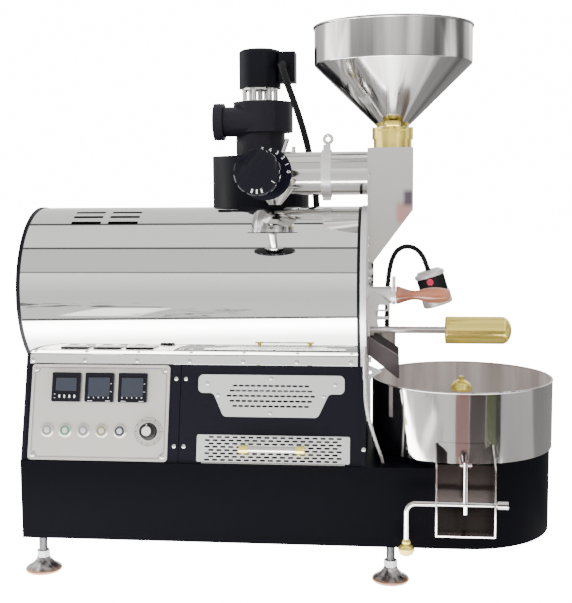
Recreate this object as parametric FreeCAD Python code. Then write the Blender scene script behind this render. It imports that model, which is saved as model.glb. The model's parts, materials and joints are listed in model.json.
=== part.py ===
"""Home coffee bean roaster: an assembly of separate solids, one STEP file for each sub-part.

Working frame: x = 0 is the hood's right edge, y = 0 the drum's upright plane, z = 0 the floor.
+X is the face with the hopper and the cooling bin, -Y the side with the control panel.
The files are written with the origin moved to the centre of the machine's footprint.
"""
import FreeCAD
import Part
import os
from math import atan2, cos, degrees, hypot, pi, radians, sin, sqrt, tan

V = FreeCAD.Vector
X = V(1, 0, 0)
Y = V(0, 1, 0)
Z = V(0, 0, 1)

# ---------------------------------------------------------------- driving dimensions, mm
# sheet metal and clearances
sheet = 2.0                  # cabinet panels
thin = 1.5                   # hood, ducts, hopper
fit = 0.05                   # radial clearance of a running fit
gap = 0.3                    # clearance between pieces that must not touch

# casing
base_z = 71.0                # underside of the base
deck_z = 200.5               # top of the base
deck_half = 142.0            # half depth of the body at the deck
base_lip = 4.6               # the base stands out past it
chamber_len = 288.0          # roasting chamber, from the firewall to the hood's right edge
bay_len = 261.0              # motor bay
waist_half = 94.3            # half depth where the sloping sides meet the hood
axis_z = 470.0               # drum axis
hood_r = 138.5
rim_over = 1.5               # end plates stand out past the hood by this
end_plate = 6.0
liner = 5.0                  # black chamber end plate
front_t = 9.0                # stainless front plate
flange_h = 15.5              # hood's bottom flange
hood_pitch = 88.0            # screws along the hood flange
hood_screws = 7
vent_in = 101.0              # first column of louvre slots in from the left end
vent_pitch = 62.0
vent_w = 50.0
vent_h = 7.0
vent_lean = 18.96            # degrees from upright, and from row to row
vent_step = 7.4
louvre_w = 60.0              # rear panel's louvres
louvre_low = 60.0

# levelling feet
foot_in = 19.0               # left feet in from the body's left end
foot_front_x = 54.0
foot_y = 102.5
foot_r = 30.5
foot_stem_r = 7.0
foot_nut_z = 24.0
foot_nut_h = 12.0
foot_nut_af = 19.0
foot_rise = 36.0             # length of stem inside the base

# control panel, on the front slope
panel_left = 11.0            # in from the body's left end
panel_right = 18.0           # in from the firewall
panel_h = 156.5
panel_low = 0.8              # its lower edge above the deck, along the slope
panel_t = 2.0
meter = 48.0
meter_pitch = 55.7
meter_up = 119.7
meter_depth = 60.0
meter_proud = 5.5
button_pitch = 30.4
button_up = 49.0
button_r = 11.0
cap_r = 8.0
cap_travel = 2.5
button_in = 84.9             # first button and fan knob, either side of the panel's centre
speed_in = 84.0
speed_r = 14.3
speed_h = 16.0
screw_r = 3.6                # visible screw heads
screw_h = 1.6

# burner window, burner and drawer
grille_x = -139.5
grille_w = 238.0             # across its ears
grille_neck = 188.0          # width under the ears
grille_foot = 153.0          # width at the bottom edge
grille_top = 143.2
grille_ear = 30.0            # height of the ears
grille_round = 8.5           # its corners
grille_h = 68.0
grille_t = 1.5
slot_w = 8.0
slot_h = 3.0
slot_pitch = 9.7
row_pitch = 8.25
grille_rows = (13, 14, 15, 14, 13)
drawer_x = -134.4
drawer_w = 247.0
drawer_low = 2.4
drawer_h = 43.5
drawer_pitch = 12.9
drawer_row = 5.2
drawer_slot = 8.6
drawer_slot_h = 2.8
drawer_rows = 8
tray_back = 70.0
tray_h = 32.0
handle_span = 104.0
handle_r = 5.0
handle_off = 22.0
handle_z = 222.5
burner_z = 300.0
burner_r = 11.0
burner_y = 45.0
gas_r = 8.0

# drum and drive
drum_r = 100.0
drum_wall = 2.5
drum_in = 12.0               # drum's back from the firewall
drum_gap = 6.0               # drum mouth to the chamber end plate
shaft_r = 10.0
jacket_r = 118.0
vane_h = 26.0
bearing_r = 17.0
drum_motor_w = 84.0
drum_motor_len = 120.0
coupling_len = 34.0

# hopper, gate and feed chute
hopper_x = 54.8
hopper_r = 129.4
hopper_wall_h = 60.0         # its straight wall, cone and neck
hopper_cone_h = 100.0
hopper_neck_h = 2.0
hopper_neck_r = 26.4
rim_r = 2.2
collar_r = 34.0
collar_step = 2.3            # its lower part is smaller by this
collar_low_h = 14.0          # lower and upper part of the collar
collar_high_h = 19.5
collar_bore = 25.0
gate_up = 12.5               # above the collar's lower part
gate_bar_r = 5.5             # cross bar that pulls the gate
gate_bar_len = 26.0
gate_bar_up = 4.0            # its axis above the collar
gate_t = 2.4
gate_travel = 45.0
chute_w = 74.5               # along x
chute_half = 37.0            # half width along y
chute_over = 5.0             # its top above the exhaust pipe
chute_bend_h = 86.0          # height of the slanted face
chute_low = 517.0
chute_toe = 24.0             # x of the slanted face's lower end
flange_w = 11.5              # its bolted flanges, their folded lips and nuts
flange_t = 2.5
flange_up = 151.0
lip_w = 10.0
flange_nuts = (6.0, 30.0, 42.0, 144.0)
nut_r = 4.5

# exhaust
pipe_r = 36.0
pipe_z = 663.5
clamp_x = -54.5
clamp_w = 16.0
tee_x = -147.0
tee_front = -97.0
tee_back = 130.0
scale_r = 43.0
stem_r = 7.5
knob_y = -203.0
knob_r = 35.5
knob_t = 20.0
shutter_y = 20.0
stack_x = -194.5
stack_y = 225.0
cyclone_r = 91.3
cyclone_top = 699.5
cyclone_low = 590.0
cone_low = 330.0
cone_r = 38.0
pot_r = 44.0
pot_h = 165.0
duct_r = 46.3
fan_z = 744.0
fan_h = 56.5
fan_r = 56.0
fan_shift = 5.3
outlet_r = 27.5
outlet_flange_r = 34.0
outlet_x = -277.0
outlet_up = 19.25             # its axis above the fan housing's floor
outlet_flange_t = 18.0
cage_r = 34.3
cage_h = 25.5
motor_r = 39.2
motor_h = 72.0
box_w = 30.0
box_d = 44.0
box_h = 56.0
box_drop = 6.0
conduit_r = 6.5

# front fittings
trier_y = -40.0
trier_z = 463.1
trier_r = 12.0
guide_r = 14.3
guide_len = 40.5
trier_plate = 6.0
trier_tab = 30.5
trier_dip = 101.0            # spoon length behind the front plate
trier_travel = 140.0
handle_len = 88.5
sight_y = 72.0
sight_z = 492.0
sight_r = 22.0
sight_rim = 8.0
door_half = 46.0
door_top = 428.0
door_low = 375.0
door_t = 4.0
door_open = 40.0
mouth_half = 40.0
mouth_low = 380.0
mouth_top = 422.0
hinge_x = 24.0
hinge_z = 443.0
hinge_pin_r = 3.0
hinge_ear = 5.0
lever_z = 400.0
lever_r = 5.8
grip_x = 144.0
grip_len = 110.0
grip_r = 23.0
bracket_half = 61.0
bracket_t = 3.0
bracket_low = 413.8
spout_half = 50.0
spout_len = 53.0
spout_top = 397.0
spout_fall = 33.0
spout_low = 326.0
lamp_y = 58.0
lamp_r = 26.0
lamp_len = 63.0
lamp_tilt = 17.2
lamp_block_w = 24.0          # base block of its gooseneck
lamp_block_d = 18.5
lamp_block_h = 32.0
lamp_arm_h = 40.0            # its angle strip
lamp_x = 116.5
lamp_z = 496.5
neck_r = 4.8
lamp_button_r = 5.8
lamp_button_down = 19.0      # from the lamp's top, along its axis
lamp_button_turn = 7.0       # about the lamp's axis, from facing -Y towards the machine
lamp_button_travel = 1.5
hose_r = 3.3
sleeve_r = 4.0               # crimped sleeve at the hose's upper end
probe_r = 1.6
probe_x = 12.4
probe_out = 9.2              # its sleeve out from the sloping side
gusset_h = 93.5              # white bracket beside it
probe_low = 335.0
probe_top = 372.0

# cooling bin
bin_x = 171.6
bin_lip = 3.6                # its wall stands out past the base
bin_low = 209.8
bin_top = 321.0
bin_rim_r = 1.6
plenum_r = 134.0
plenum_low = 162.0
floor_t = 2.0
hub_r = 12.0
stir_shaft_r = 6.0
dome_r = 18.5
dome_z = 298.0
arm_r = 4.0
arms = 3
paddle = 46.0
blower_x = -70.0
blower_r = 78.0
blower_h = 52.0
spill_x = 167.5
spill_w = 91.0
spill_low = 108.0
spill_top = 240.0
spill_depth = 53.4           # out from the base
spill_door_w = 78.0
spill_door_top = 243.0
crank_out = 43.4             # lever shaft out from the base
crank_z = 157.0
crank_r = 4.0
crank_x = 78.0
crank_drop = 57.0
crank_bend = 14.0
crank_end = 232.0
crank_open = 18.0
ball_r = 12.5

# ---------------------------------------------------------------- places worked out from them
body_len = chamber_len + bay_len
left_x = -body_len
seam_x = -chamber_len                  # firewall and joint between the two front side panels
base_half = deck_half + base_lip       # half depth of the base
foot_x = (left_x + foot_in, foot_front_x)
panel_x = (left_x + panel_left + seam_x - panel_right) / 2
panel_w = bay_len - panel_left - panel_right
button_x0 = panel_x - button_in
speed_x = panel_x + speed_in
drum_x0 = seam_x + drum_in
chute_top = pipe_z + pipe_r + chute_over
chute_bend = chute_low + chute_bend_h
collar_z = chute_top + collar_low_h
collar_top = collar_z + collar_high_h
gate_z = collar_z + gate_up
hopper_neck_z = collar_top + hopper_neck_h
hopper_low = hopper_neck_z + hopper_cone_h
hopper_top = hopper_low + hopper_wall_h
bin_r = base_half + bin_lip
spill_front = -(base_half + spill_depth)
crank_y = -(base_half + crank_out)
plate_in = liner                       # back of the front plate
plate_x = liner + front_t              # face that the front fittings bolt to
waist_z = axis_z - sqrt(hood_r ** 2 - waist_half ** 2)
slope_len = hypot(deck_half - waist_half, waist_z - deck_z)
slope = degrees(atan2(deck_half - waist_half, waist_z - deck_z))
split_z = deck_z + (slope_len - flange_h) * cos(radians(slope))   # stainless above, black below
probe_y = -round(waist_half + (waist_z - probe_low) * tan(radians(slope)) + probe_out, 1)
shift = V(-(foot_x[0] - foot_r + bin_x + bin_r - thin / 2 + bin_rim_r) / 2, -(knob_y + stack_y + cyclone_r) / 2, 0)
nodes = {}


# ---------------------------------------------------------------- shape helpers
def block(x0, x1, y0, y1, z0, z1):
    return Part.makeBox(x1 - x0, y1 - y0, z1 - z0, V(x0, y0, z0))


def rod(start, along, radius, length):
    return Part.makeCylinder(radius, length, V(*start), along)


def tube(start, along, radius, wall, length):
    return rod(start, along, radius, length).cut(rod(start, along, radius - wall, length))


def stand(shape, start, along):
    """Moves a shape that was made along +Z from the origin to a start point and a direction."""
    shape.Placement = FreeCAD.Placement(V(*start), FreeCAD.Rotation(Z, along))
    return shape


def prism(points, along):
    """Closed outline of straight edges, pushed along a vector."""
    outline = [V(*p) for p in points]
    return Part.Face(Part.makePolygon(outline + outline[:1])).extrude(along)


def lathe(profile, start=(0, 0, 0), along=Z):
    """Turns an outline of (radius, height) pairs round the axis that starts at start."""
    outline = [V(r, 0, h) for r, h in profile]
    face = Part.Face(Part.makePolygon(outline + outline[:1]))
    return stand(face.revolve(V(), Z, 360), start, along)


def joined(*shapes):
    return shapes[0].multiFuse(list(shapes[1:])).removeSplitter()


def less(shape, *cutters):
    return shape.cut(Part.makeCompound(list(cutters)))


def rounded(width, height, radius):
    """Wire of a rectangle with round corners, centred on the origin."""
    w = width / 2
    h = height / 2
    k = radius * (1 - sqrt(0.5))
    edges = []
    for sx, sy in ((1, 1), (-1, 1), (-1, -1), (1, -1)):
        before = V(sx * w, sy * (h - radius), 0)
        after = V(sx * (w - radius), sy * h, 0)
        if sx * sy < 0:
            before, after = after, before
        edges.append((before, V(sx * (w - k), sy * (h - k), 0), after))
    curves = []
    for i, (before, middle, after) in enumerate(edges):
        curves.append(Part.Arc(before, middle, after).toShape())
        following = edges[(i + 1) % 4][0]
        if (following - after).Length > 1e-6:
            curves.append(Part.LineSegment(after, following).toShape())
    return Part.Wire(curves)


def softened(corners, radius):
    """Closed wire through the corners, each rounded."""
    edges = []
    ends = []
    for a, b, c in zip(corners[-1:] + corners[:-1], corners, corners[1:] + corners[:1]):
        into = (b - a).normalize()
        out = (c - b).normalize()
        turn = into.getAngle(out)
        reach = radius * tan(turn / 2)
        middle = b + (out - into).normalize() * (radius / cos(turn / 2) - radius)
        ends.append((b - into * reach, b + out * reach))
        edges.append(Part.Arc(ends[-1][0], middle, ends[-1][1]).toShape())
    for (_, end), (start, _) in zip(ends, ends[1:] + ends[:1]):
        edges.append(Part.LineSegment(end, start).toShape())
    return Part.Wire(Part.__sortEdges__(edges))


def moved(shape, x, y, z=0.0):
    shape = shape.copy()
    shape.translate(V(x, y, z))
    return shape


def pierced(outline, holes, thickness):
    """Flat plate from an outline wire and hole wires, pushed up by its thickness."""
    face = Part.Face(outline)
    if holes:
        face = face.cut(Part.makeCompound([Part.Face(hole) for hole in holes]))
    return face.extrude(V(0, 0, thickness))


def on_slope(shape):
    """Places a shape drawn flat (x, up the slope, outwards) on the front sloping side."""
    turned = shape.copy()
    turned.rotate(V(), X, 90 - slope)
    turned.translate(V(0, -deck_half, deck_z))
    return turned


def mirrored(shape):
    return shape.mirror(V(), Y)


def waist(grow):
    """Where the side plane meets the hood's circle, both moved outwards by grow."""
    normal_y = cos(radians(slope))
    normal_z = sin(radians(slope))
    start_y = waist_half + grow * normal_y
    start_z = waist_z - axis_z + grow * normal_z
    b = -start_y * normal_z + start_z * normal_y
    c = start_y ** 2 + start_z ** 2 - (hood_r + grow) ** 2
    t = min((-b - sqrt(b * b - c), -b + sqrt(b * b - c)), key=abs)
    return start_y - t * normal_z, start_z + t * normal_y + axis_z


def body_section(x0, x1, grow=0.0):
    """Slab with the outline of the body: sloping sides and the hood's arc on top."""
    y, z = waist(grow)
    foot = deck_half + grow / cos(radians(slope))
    top = V(x0, 0, axis_z + hood_r + grow)
    edges = [
        Part.LineSegment(V(x0, -foot, deck_z), V(x0, -y, z)),
        Part.Arc(V(x0, -y, z), top, V(x0, y, z)),
        Part.LineSegment(V(x0, y, z), V(x0, foot, deck_z)),
        Part.LineSegment(V(x0, foot, deck_z), V(x0, -foot, deck_z)),
    ]
    return Part.Face(Part.Wire([e.toShape() for e in edges])).extrude(V(x1 - x0, 0, 0))


def footprint(inset, z0, z1):
    """Base outline: straight sides and a half-round right end."""
    half = base_half - inset
    edges = [
        Part.LineSegment(V(left_x + inset, -half, z0), V(bin_x, -half, z0)),
        Part.Arc(V(bin_x, -half, z0), V(bin_x + half, 0, z0), V(bin_x, half, z0)),
        Part.LineSegment(V(bin_x, half, z0), V(left_x + inset, half, z0)),
        Part.LineSegment(V(left_x + inset, half, z0), V(left_x + inset, -half, z0)),
    ]
    return Part.Face(Part.Wire([e.toShape() for e in edges])).extrude(V(0, 0, z1 - z0))


def cable(name, points, radius):
    """Tube along straight runs and tangent arcs; each arc is as large as its runs allow."""
    pts = [V(*p) for p in points]
    edges = []
    last = pts[0]
    length = 0.0
    radii = []
    for a, b, c in zip(pts, pts[1:], pts[2:]):
        into = (b - a).normalize()
        out = (c - b).normalize()
        turn = into.getAngle(out)
        reach = 0.45 * min((b - a).Length, (c - b).Length)
        bend = reach / tan(turn / 2)
        start = b - into * reach
        end = b + out * reach
        middle = b + (out - into).normalize() * (bend / cos(turn / 2) - bend)
        edges.append(Part.LineSegment(last, start).toShape())
        edges.append(Part.Arc(start, middle, end).toShape())
        length += (start - last).Length + bend * turn
        radii.append(round(bend, 1))
        last = end
    edges.append(Part.LineSegment(last, pts[-1]).toShape())
    length += (pts[-1] - last).Length
    ring = Part.Wire([Part.makeCircle(radius, pts[0], (pts[1] - pts[0]).normalize())])
    shape = Part.Wire(edges).makePipeShell([ring], True, False)
    ratio = shape.Volume / (pi * radius ** 2 * length)
    print(f"{name}: length {length:.1f}, bend radii {radii}, volume ratio {ratio:.4f}")
    return shape


def screw(start, along, radius=screw_r, height=screw_h):
    return lathe([(0, 0), (radius, 0), (radius, height * 0.5), (radius * 0.6, height), (0, height)], start, along)


def hexagon(start, along, across, height, bore=0.0):
    r = across / sqrt(3)
    points = [(r * cos(radians(60 * i)), r * sin(radians(60 * i)), 0) for i in range(6)]
    nut = prism(points, V(0, 0, height))
    if bore:
        nut = nut.cut(rod((0, 0, 0), Z, bore, height))
    return stand(nut, start, along)


def put(name, *shapes):
    solids = [s for shape in shapes for s in shape.Solids]
    nodes[name] = Part.makeCompound(solids) if len(solids) > 1 else solids[0]


# ---------------------------------------------------------------- casing
def base():
    shell = footprint(0, base_z, deck_z).cut(footprint(sheet, base_z, deck_z - sheet))
    plinth = rod((bin_x, 0, deck_z), Z, base_half, bin_low - deck_z)
    shell = joined(shell, plinth)
    air_out = rod((blower_x, base_half + 1, deck_z - 70), -Y, 30, sheet + 2)
    well = rod((bin_x, 0, deck_z - sheet), Z, plenum_r + gap, bin_low - deck_z + sheet)
    lugs = [rod((stack_x + side * 40, base_half + 1, pot_shelf_z() - 8), -Y, 4, sheet + 2) for side in (-1, 1)]
    gland_hole = rod((left_x + 60, base_half + 1, base_z + 40), -Y, 8, sheet + 2)
    hose_x, hose_y, _ = hose_route[-1]
    hose_hole = rod((hose_x, hose_y, deck_z - 10), Z, hose_r + 1.2, 12)
    shell = less(shell, well, air_out, gland_hole, hose_hole, *lugs)
    pan = footprint(sheet, base_z, base_z + sheet)
    for x in foot_x:
        for y in (-foot_y, foot_y):
            boss = rod((x, y, base_z + sheet), Z, foot_stem_r + 5, 16)
            pan = joined(pan, boss).cut(rod((x, y, base_z), Z, foot_stem_r + fit, 30))
    gland = joined(hexagon((left_x + 60, base_half, base_z + 40), Y, 20, 6),
                   rod((left_x + 60, base_half, base_z + 40), Y, 7.5, 14),
                   rod((left_x + 60, base_half, base_z + 40), -Y, 7.5, 10))
    put("base_cabinet", shell, pan, gland)


def pot_shelf_z():
    return cone_low - pot_h


def side_panels():
    top = slope_len - 1.2

    def panel(x0, x1):
        return block(x0, x1, 0, top, -sheet, 0)
    seam = 0.5
    control = panel(left_x + end_plate, seam_x - seam)
    control = control.cut(block(panel_x - 105, panel_x + 105, panel_low + 22, panel_low + panel_h - 12, -sheet, 0))
    burner = panel(seam_x + seam, 0)
    window_low = grille_top - grille_h
    burner = less(burner,
                  block(grille_x - 65, grille_x + 65, window_low + 12, grille_top - 12, -sheet, 0),
                  block(drawer_x - drawer_w / 2 + 6, drawer_x + drawer_w / 2 - 6, 0, drawer_low + drawer_h - 4,
                        -sheet, 0))
    rear = panel(left_x + end_plate, 0)
    louvres = [moved(block(-louvre_w / 2, louvre_w / 2, -vent_h / 2, vent_h / 2, -sheet, 0),
                     left_x + louvre_w + louvre_w * 4 / 3 * (i + 0.25), louvre_low + 3 * vent_h * j)
               for i in range(2) for j in range(5)]
    gas_up = (burner_z - deck_z) / cos(radians(slope))
    rear = less(rear, *louvres, rod((gas_x(), gas_up, -sheet), Z, gas_r + 1, sheet),
                rod((conduit_in[0], gland_up(), -sheet), Z, conduit_r + 2, sheet))
    below = block(left_x, 10, -deck_half - 5, deck_half + 5, base_z, deck_z)
    panels = [on_slope(control), on_slope(burner), mirrored(on_slope(rear))]
    normal = V(0, cos(radians(slope)), sin(radians(slope)))
    gland = hexagon(V(*conduit_in) - normal * 8, normal, 20, 8)
    put("side_panels", *[piece.cut(below) for piece in panels], gland)


def gland_up():
    """Height up the rear slope at which the motor's conduit meets it."""
    dy = conduit_in[1] - deck_half
    dz = conduit_in[2] - deck_z
    return dz * cos(radians(slope)) - dy * sin(radians(slope))


def gas_x():
    return drum_x0 + 16


def hood():
    y, z = waist(0)
    wedge = prism([(left_x, 0, axis_z), (left_x, -3 * y, axis_z - 3 * (axis_z - z)),
                   (left_x, 3 * y, axis_z - 3 * (axis_z - z))], V(body_len, 0, 0))
    flange = on_slope(block(left_x + end_plate, 0, slope_len - flange_h, slope_len + thin, 0, thin))
    flange = flange.cut(rod((left_x, 0, axis_z), X, hood_r - thin / 2, body_len))
    ring = tube((left_x + end_plate, 0, axis_z), X, hood_r, thin, body_len - end_plate).cut(wedge)
    vents = []
    for column in (left_x + vent_in, left_x + vent_in + vent_pitch):
        for row in range(3):
            lean = radians(vent_lean + vent_step * row)
            cutter = block(-vent_w / 2, vent_w / 2, -vent_h / 2, vent_h / 2, hood_r - 4, hood_r + 2)
            cutter.rotate(V(), X, degrees(lean))
            cutter.translate(V(column, 0, axis_z))
            vents.append(cutter)
    shell = joined(ring, flange, mirrored(flange))
    put("hood", less(shell, *vents))


def end_plates():
    plate = body_section(left_x, left_x + end_plate, rim_over)
    slots = [block(left_x - 1, left_x + end_plate + 1, -40, 40, axis_z - 30 + 12 * i, axis_z - 26 + 12 * i)
             for i in range(6)]
    put("motor_end_plate", less(plate, *slots))

    inner = body_section(0, liner)
    lower = body_section(plate_in, plate_x, rim_over).cut(above_split())
    inner = joined(inner, lower).cut(rod((-1, 0, axis_z), X, drum_r + 4, liner + 2))
    firewall = body_section(seam_x, seam_x + sheet, -(sheet + gap))
    firewall = firewall.cut(rod((seam_x - 1, 0, axis_z), X, shaft_r + 2, sheet + 2))
    jacket = tube((seam_x + sheet, 0, axis_z), X, jacket_r, thin, -seam_x - sheet)
    jacket = jacket.cut(prism([(seam_x, 0, axis_z), (seam_x, -90, axis_z - 200), (seam_x, 90, axis_z - 200)],
                              V(-seam_x + 1, 0, 0)))
    rear_bearing = lathe([(shaft_r + fit, 0), (34, 0), (34, 5), (22, 6), (22, 20), (shaft_r + fit, 20)],
                         (seam_x, 0, axis_z), -X)
    front_bearing = lathe([(shaft_r + fit, 0), (bearing_r, 0), (bearing_r, front_t - 1), (shaft_r + fit, front_t - 1)],
                          (plate_in, 0, axis_z), X)
    put("chamber_plates", inner, firewall, jacket, rear_bearing, front_bearing)


def above_split():
    return block(plate_in - 1, plate_x + 1, -hood_r - 9, hood_r + 9, split_z, axis_z + hood_r + 9)


def front_plate():
    plate = body_section(plate_in, plate_x, rim_over).common(above_split())
    through = front_t + 2
    plate = less(
        plate,
        block(plate_in - 1, plate_x + 1, -mouth_half, mouth_half, mouth_low, mouth_top),
        block(plate_in - 1, plate_x + 1, -chute_half + 7, chute_half - 7, chute_low + 4, axis_z + drum_r - 8),
        rod((plate_in - 1, trier_y, trier_z), X, trier_r + fit, through),
        rod((plate_in - 1, sight_y, sight_z), X, sight_r, through),
        rod((plate_in - 1, 0, axis_z), X, bearing_r, front_t),
    )
    seat = rod((probe_x, probe_y, probe_top), Z, probe_r + fit, 30)
    put("front_plate", plate.cut(seat))


def case_screws():
    heads = []
    up = slope_len - flange_h / 2 - 2
    for i in range(hood_screws):
        head = on_slope(screw((-10.1 - hood_pitch * i, up, thin), Z))
        heads += [head, mirrored(head)]
    for x in (seam_x - 7.5, seam_x + 8.5):
        for up in (26.5, 135.8):
            heads.append(on_slope(screw((x, up, 0), Z)))
    inset = 8.0
    for sx in (-1, 1):
        for up in (panel_low + inset, panel_low + panel_h - inset):
            heads.append(on_slope(screw((panel_x + sx * (panel_w / 2 - inset), up, panel_t), Z)))
    heads.append(on_slope(screw((plate_x - 3, 26.5, rim_over), Z, screw_r, 4)))
    ears = grille_w / 2 - 15
    low = grille_neck / 2 - 8
    for x, down in ((-ears, 14.5), (ears, 14.5), (0, 5.0), (-low, 33.0), (low, 33.0), (0, grille_h - 7)):
        heads.append(on_slope(screw((grille_x + x, grille_top - down, grille_t), Z, screw_r - 0.4)))
    flange_y = chute_half + flange_w - nut_r - 0.5
    for y in (-flange_y, flange_y):
        for up in flange_nuts:
            heads.append(lathe([(0, 0), (nut_r, 0), (nut_r, 3), (3.2, 6), (0, 7)],
                               (plate_x + flange_t, y, chute_low + up), X))
    put("case_screws", *heads)


# ---------------------------------------------------------------- levelling feet
def feet():
    labels = {(0, -1): "foot_control_side_left", (1, -1): "foot_control_side_right",
              (0, 1): "foot_rear_left", (1, 1): "foot_rear_right"}
    for (i, side), name in labels.items():
        start = (foot_x[i], side * foot_y, 0)
        cone = lathe([(0, 0), (foot_r - 2.5, 0), (foot_r, 2), (foot_r, 5), (foot_r - 3, 7), (11, foot_nut_z - 2),
                      (11, foot_nut_z), (0, foot_nut_z)], start)
        nut = hexagon((start[0], start[1], foot_nut_z), Z, foot_nut_af, foot_nut_h)
        stem = rod((start[0], start[1], foot_nut_z + foot_nut_h), Z, foot_stem_r,
                   base_z + foot_rise - foot_nut_z - foot_nut_h)
        put(name, joined(cone, nut, stem))


# ---------------------------------------------------------------- control panel
def button_x(i):
    return button_x0 + button_pitch * i


def controls():
    mid = panel_low + panel_h / 2
    holes = [moved(rounded(meter - 3, meter - 3, 1), panel_x + meter_pitch * (i - 1), meter_up) for i in range(3)]
    for i in range(5):
        holes.append(Part.Wire([Part.makeCircle(cap_r + 1.2, V(button_x(i), button_up, 0))]))
    holes.append(Part.Wire([Part.makeCircle(3 + fit, V(speed_x, button_up, 0))]))
    plate = pierced(moved(rounded(panel_w, panel_h, 6), panel_x, mid), holes, panel_t)
    bezels = []
    for i in range(5):
        ring = lathe([(cap_r + fit, -16), (cap_r + 1.2, -16), (cap_r + 1.2, panel_t), (button_r, panel_t),
                      (button_r, panel_t + 2), (button_r - 1.5, panel_t + 3.5), (cap_r + fit, panel_t + 3.5)],
                     (button_x(i), button_up, 0))
        bezels.append(on_slope(ring))
    put("control_panel", on_slope(plate), *bezels)

    meters = []
    for i in range(3):
        x = panel_x + meter_pitch * (i - 1)
        case = meter - 3 - 2 * gap
        body = block(x - case / 2, x + case / 2, meter_up - case / 2, meter_up + case / 2, -meter_depth, panel_t)
        bezel = pierced(moved(rounded(meter, meter, 2), x, meter_up), [], meter_proud)
        bezel.translate(V(0, 0, panel_t))
        window = block(x - meter / 2 + 5, x + meter / 2 - 5, meter_up - meter / 2 + 12, meter_up + meter / 2 - 5,
                       panel_t + meter_proud - 1, panel_t + meter_proud)
        meters.append(on_slope(joined(body, bezel).cut(window)))
    put("panel_meters", *meters)

    for i, name in enumerate(("power", "heating", "timing", "cooling", "mixing")):
        cap = lathe([(0, -12), (cap_r, -12), (cap_r, panel_t + 4.2), (cap_r - 1, panel_t + 5), (0, panel_t + 5)],
                    (button_x(i), button_up, 0))
        put(name + "_button", on_slope(cap))

    base_up = panel_t + 0.5
    grip = lathe([(0, base_up), (speed_r, base_up), (speed_r - 1, base_up + speed_h - 1),
                  (speed_r - 2, base_up + speed_h), (0, base_up + speed_h)], (speed_x, button_up, 0))
    stem = rod((speed_x, button_up, -14), Z, 3, 14 + base_up)
    put("fan_speed_knob", on_slope(joined(grip, stem)))


# ---------------------------------------------------------------- burner window, burner and drawer
def oblong(width, height):
    return rounded(width, height, height / 2 - 0.01)


def burner():
    half = grille_w / 2
    neck = grille_neck / 2
    foot = grille_foot / 2
    outline = [(-half, 0), (-half, -grille_ear), (-neck, -grille_ear), (-foot, -grille_h)]
    outline = outline + [(-x, y) for x, y in reversed(outline)]
    wire = softened([V(grille_x + x, grille_top + y, 0) for x, y in outline], grille_round)
    first = grille_top - 17.5
    slots = []
    for row, count in enumerate(grille_rows):
        for i in range(count):
            slots.append(moved(oblong(slot_w, slot_h), grille_x + slot_pitch * (i - (count - 1) / 2),
                               first - row_pitch * row))
    put("burner_grille", on_slope(pierced(wire, slots, grille_t)))

    tubes = [rod((gas_x(), y, burner_z), X, burner_r, -gas_x() - 20) for y in (-burner_y, 0, burner_y)]
    panel_y = waist_half + (waist_z - burner_z) * tan(radians(slope))
    manifold = rod((gas_x(), -burner_y - 14, burner_z), Y, gas_r, panel_y + 24 + burner_y + 14)
    manifold = manifold.cut(rod((gas_x(), panel_y - 6, burner_z), Y, gas_r - 3, 30))
    stays = [block(seam_x + sheet, gas_x(), y - 6, y + 6, burner_z - 3, burner_z + 3) for y in (-burner_y, burner_y)]
    union = hexagon((gas_x(), panel_y + 4, burner_z), Y, 24, 12, gas_r - 0.1)
    put("burner_tubes", joined(*tubes, manifold, *stays, union))


def drawer():
    slots = []
    for row in range(drawer_rows):
        count = int((drawer_w - 18) / drawer_pitch)
        offset = drawer_pitch / 4 * (1 if row % 2 else -1)
        for i in range(count):
            slots.append(moved(oblong(drawer_slot, drawer_slot_h), drawer_x + drawer_pitch * (i - (count - 1) / 2)
                               + offset, drawer_low + drawer_h / 2 + drawer_row * (row - (drawer_rows - 1) / 2)))
    face = pierced(moved(rounded(drawer_w, drawer_h, 3), drawer_x, drawer_low + drawer_h / 2), slots, thin)
    side = drawer_w / 2 - 8
    low = deck_z + gap
    outer = block(drawer_x - side, drawer_x + side, -deck_half - 5, tray_back, low, low + tray_h)
    inner = block(drawer_x - side + thin, drawer_x + side - thin, -deck_half - 6, tray_back - thin, low + thin,
                  low + tray_h + 1)
    outside = on_slope(block(left_x, 50, -20, 90, 0, 60))
    tray = outer.cut(inner).cut(outside)
    up = (handle_z - deck_z) / cos(radians(slope))
    bar_x = drawer_x - handle_span / 2 + 1.0
    bar = rod((bar_x + 14, up, thin + handle_off), X, handle_r, handle_span - 28)
    ends = []
    for x, turn in ((bar_x, 1), (bar_x + handle_span, -1)):
        cap = rod((x, up, thin + handle_off), X * turn, handle_r + 1.5, 14)
        post = rod((x + turn * 7, up, thin), Z, 4, handle_off)
        ends.append(on_slope(joined(cap, post)))
    put("drawer", on_slope(face), tray, on_slope(bar), *ends)


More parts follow.
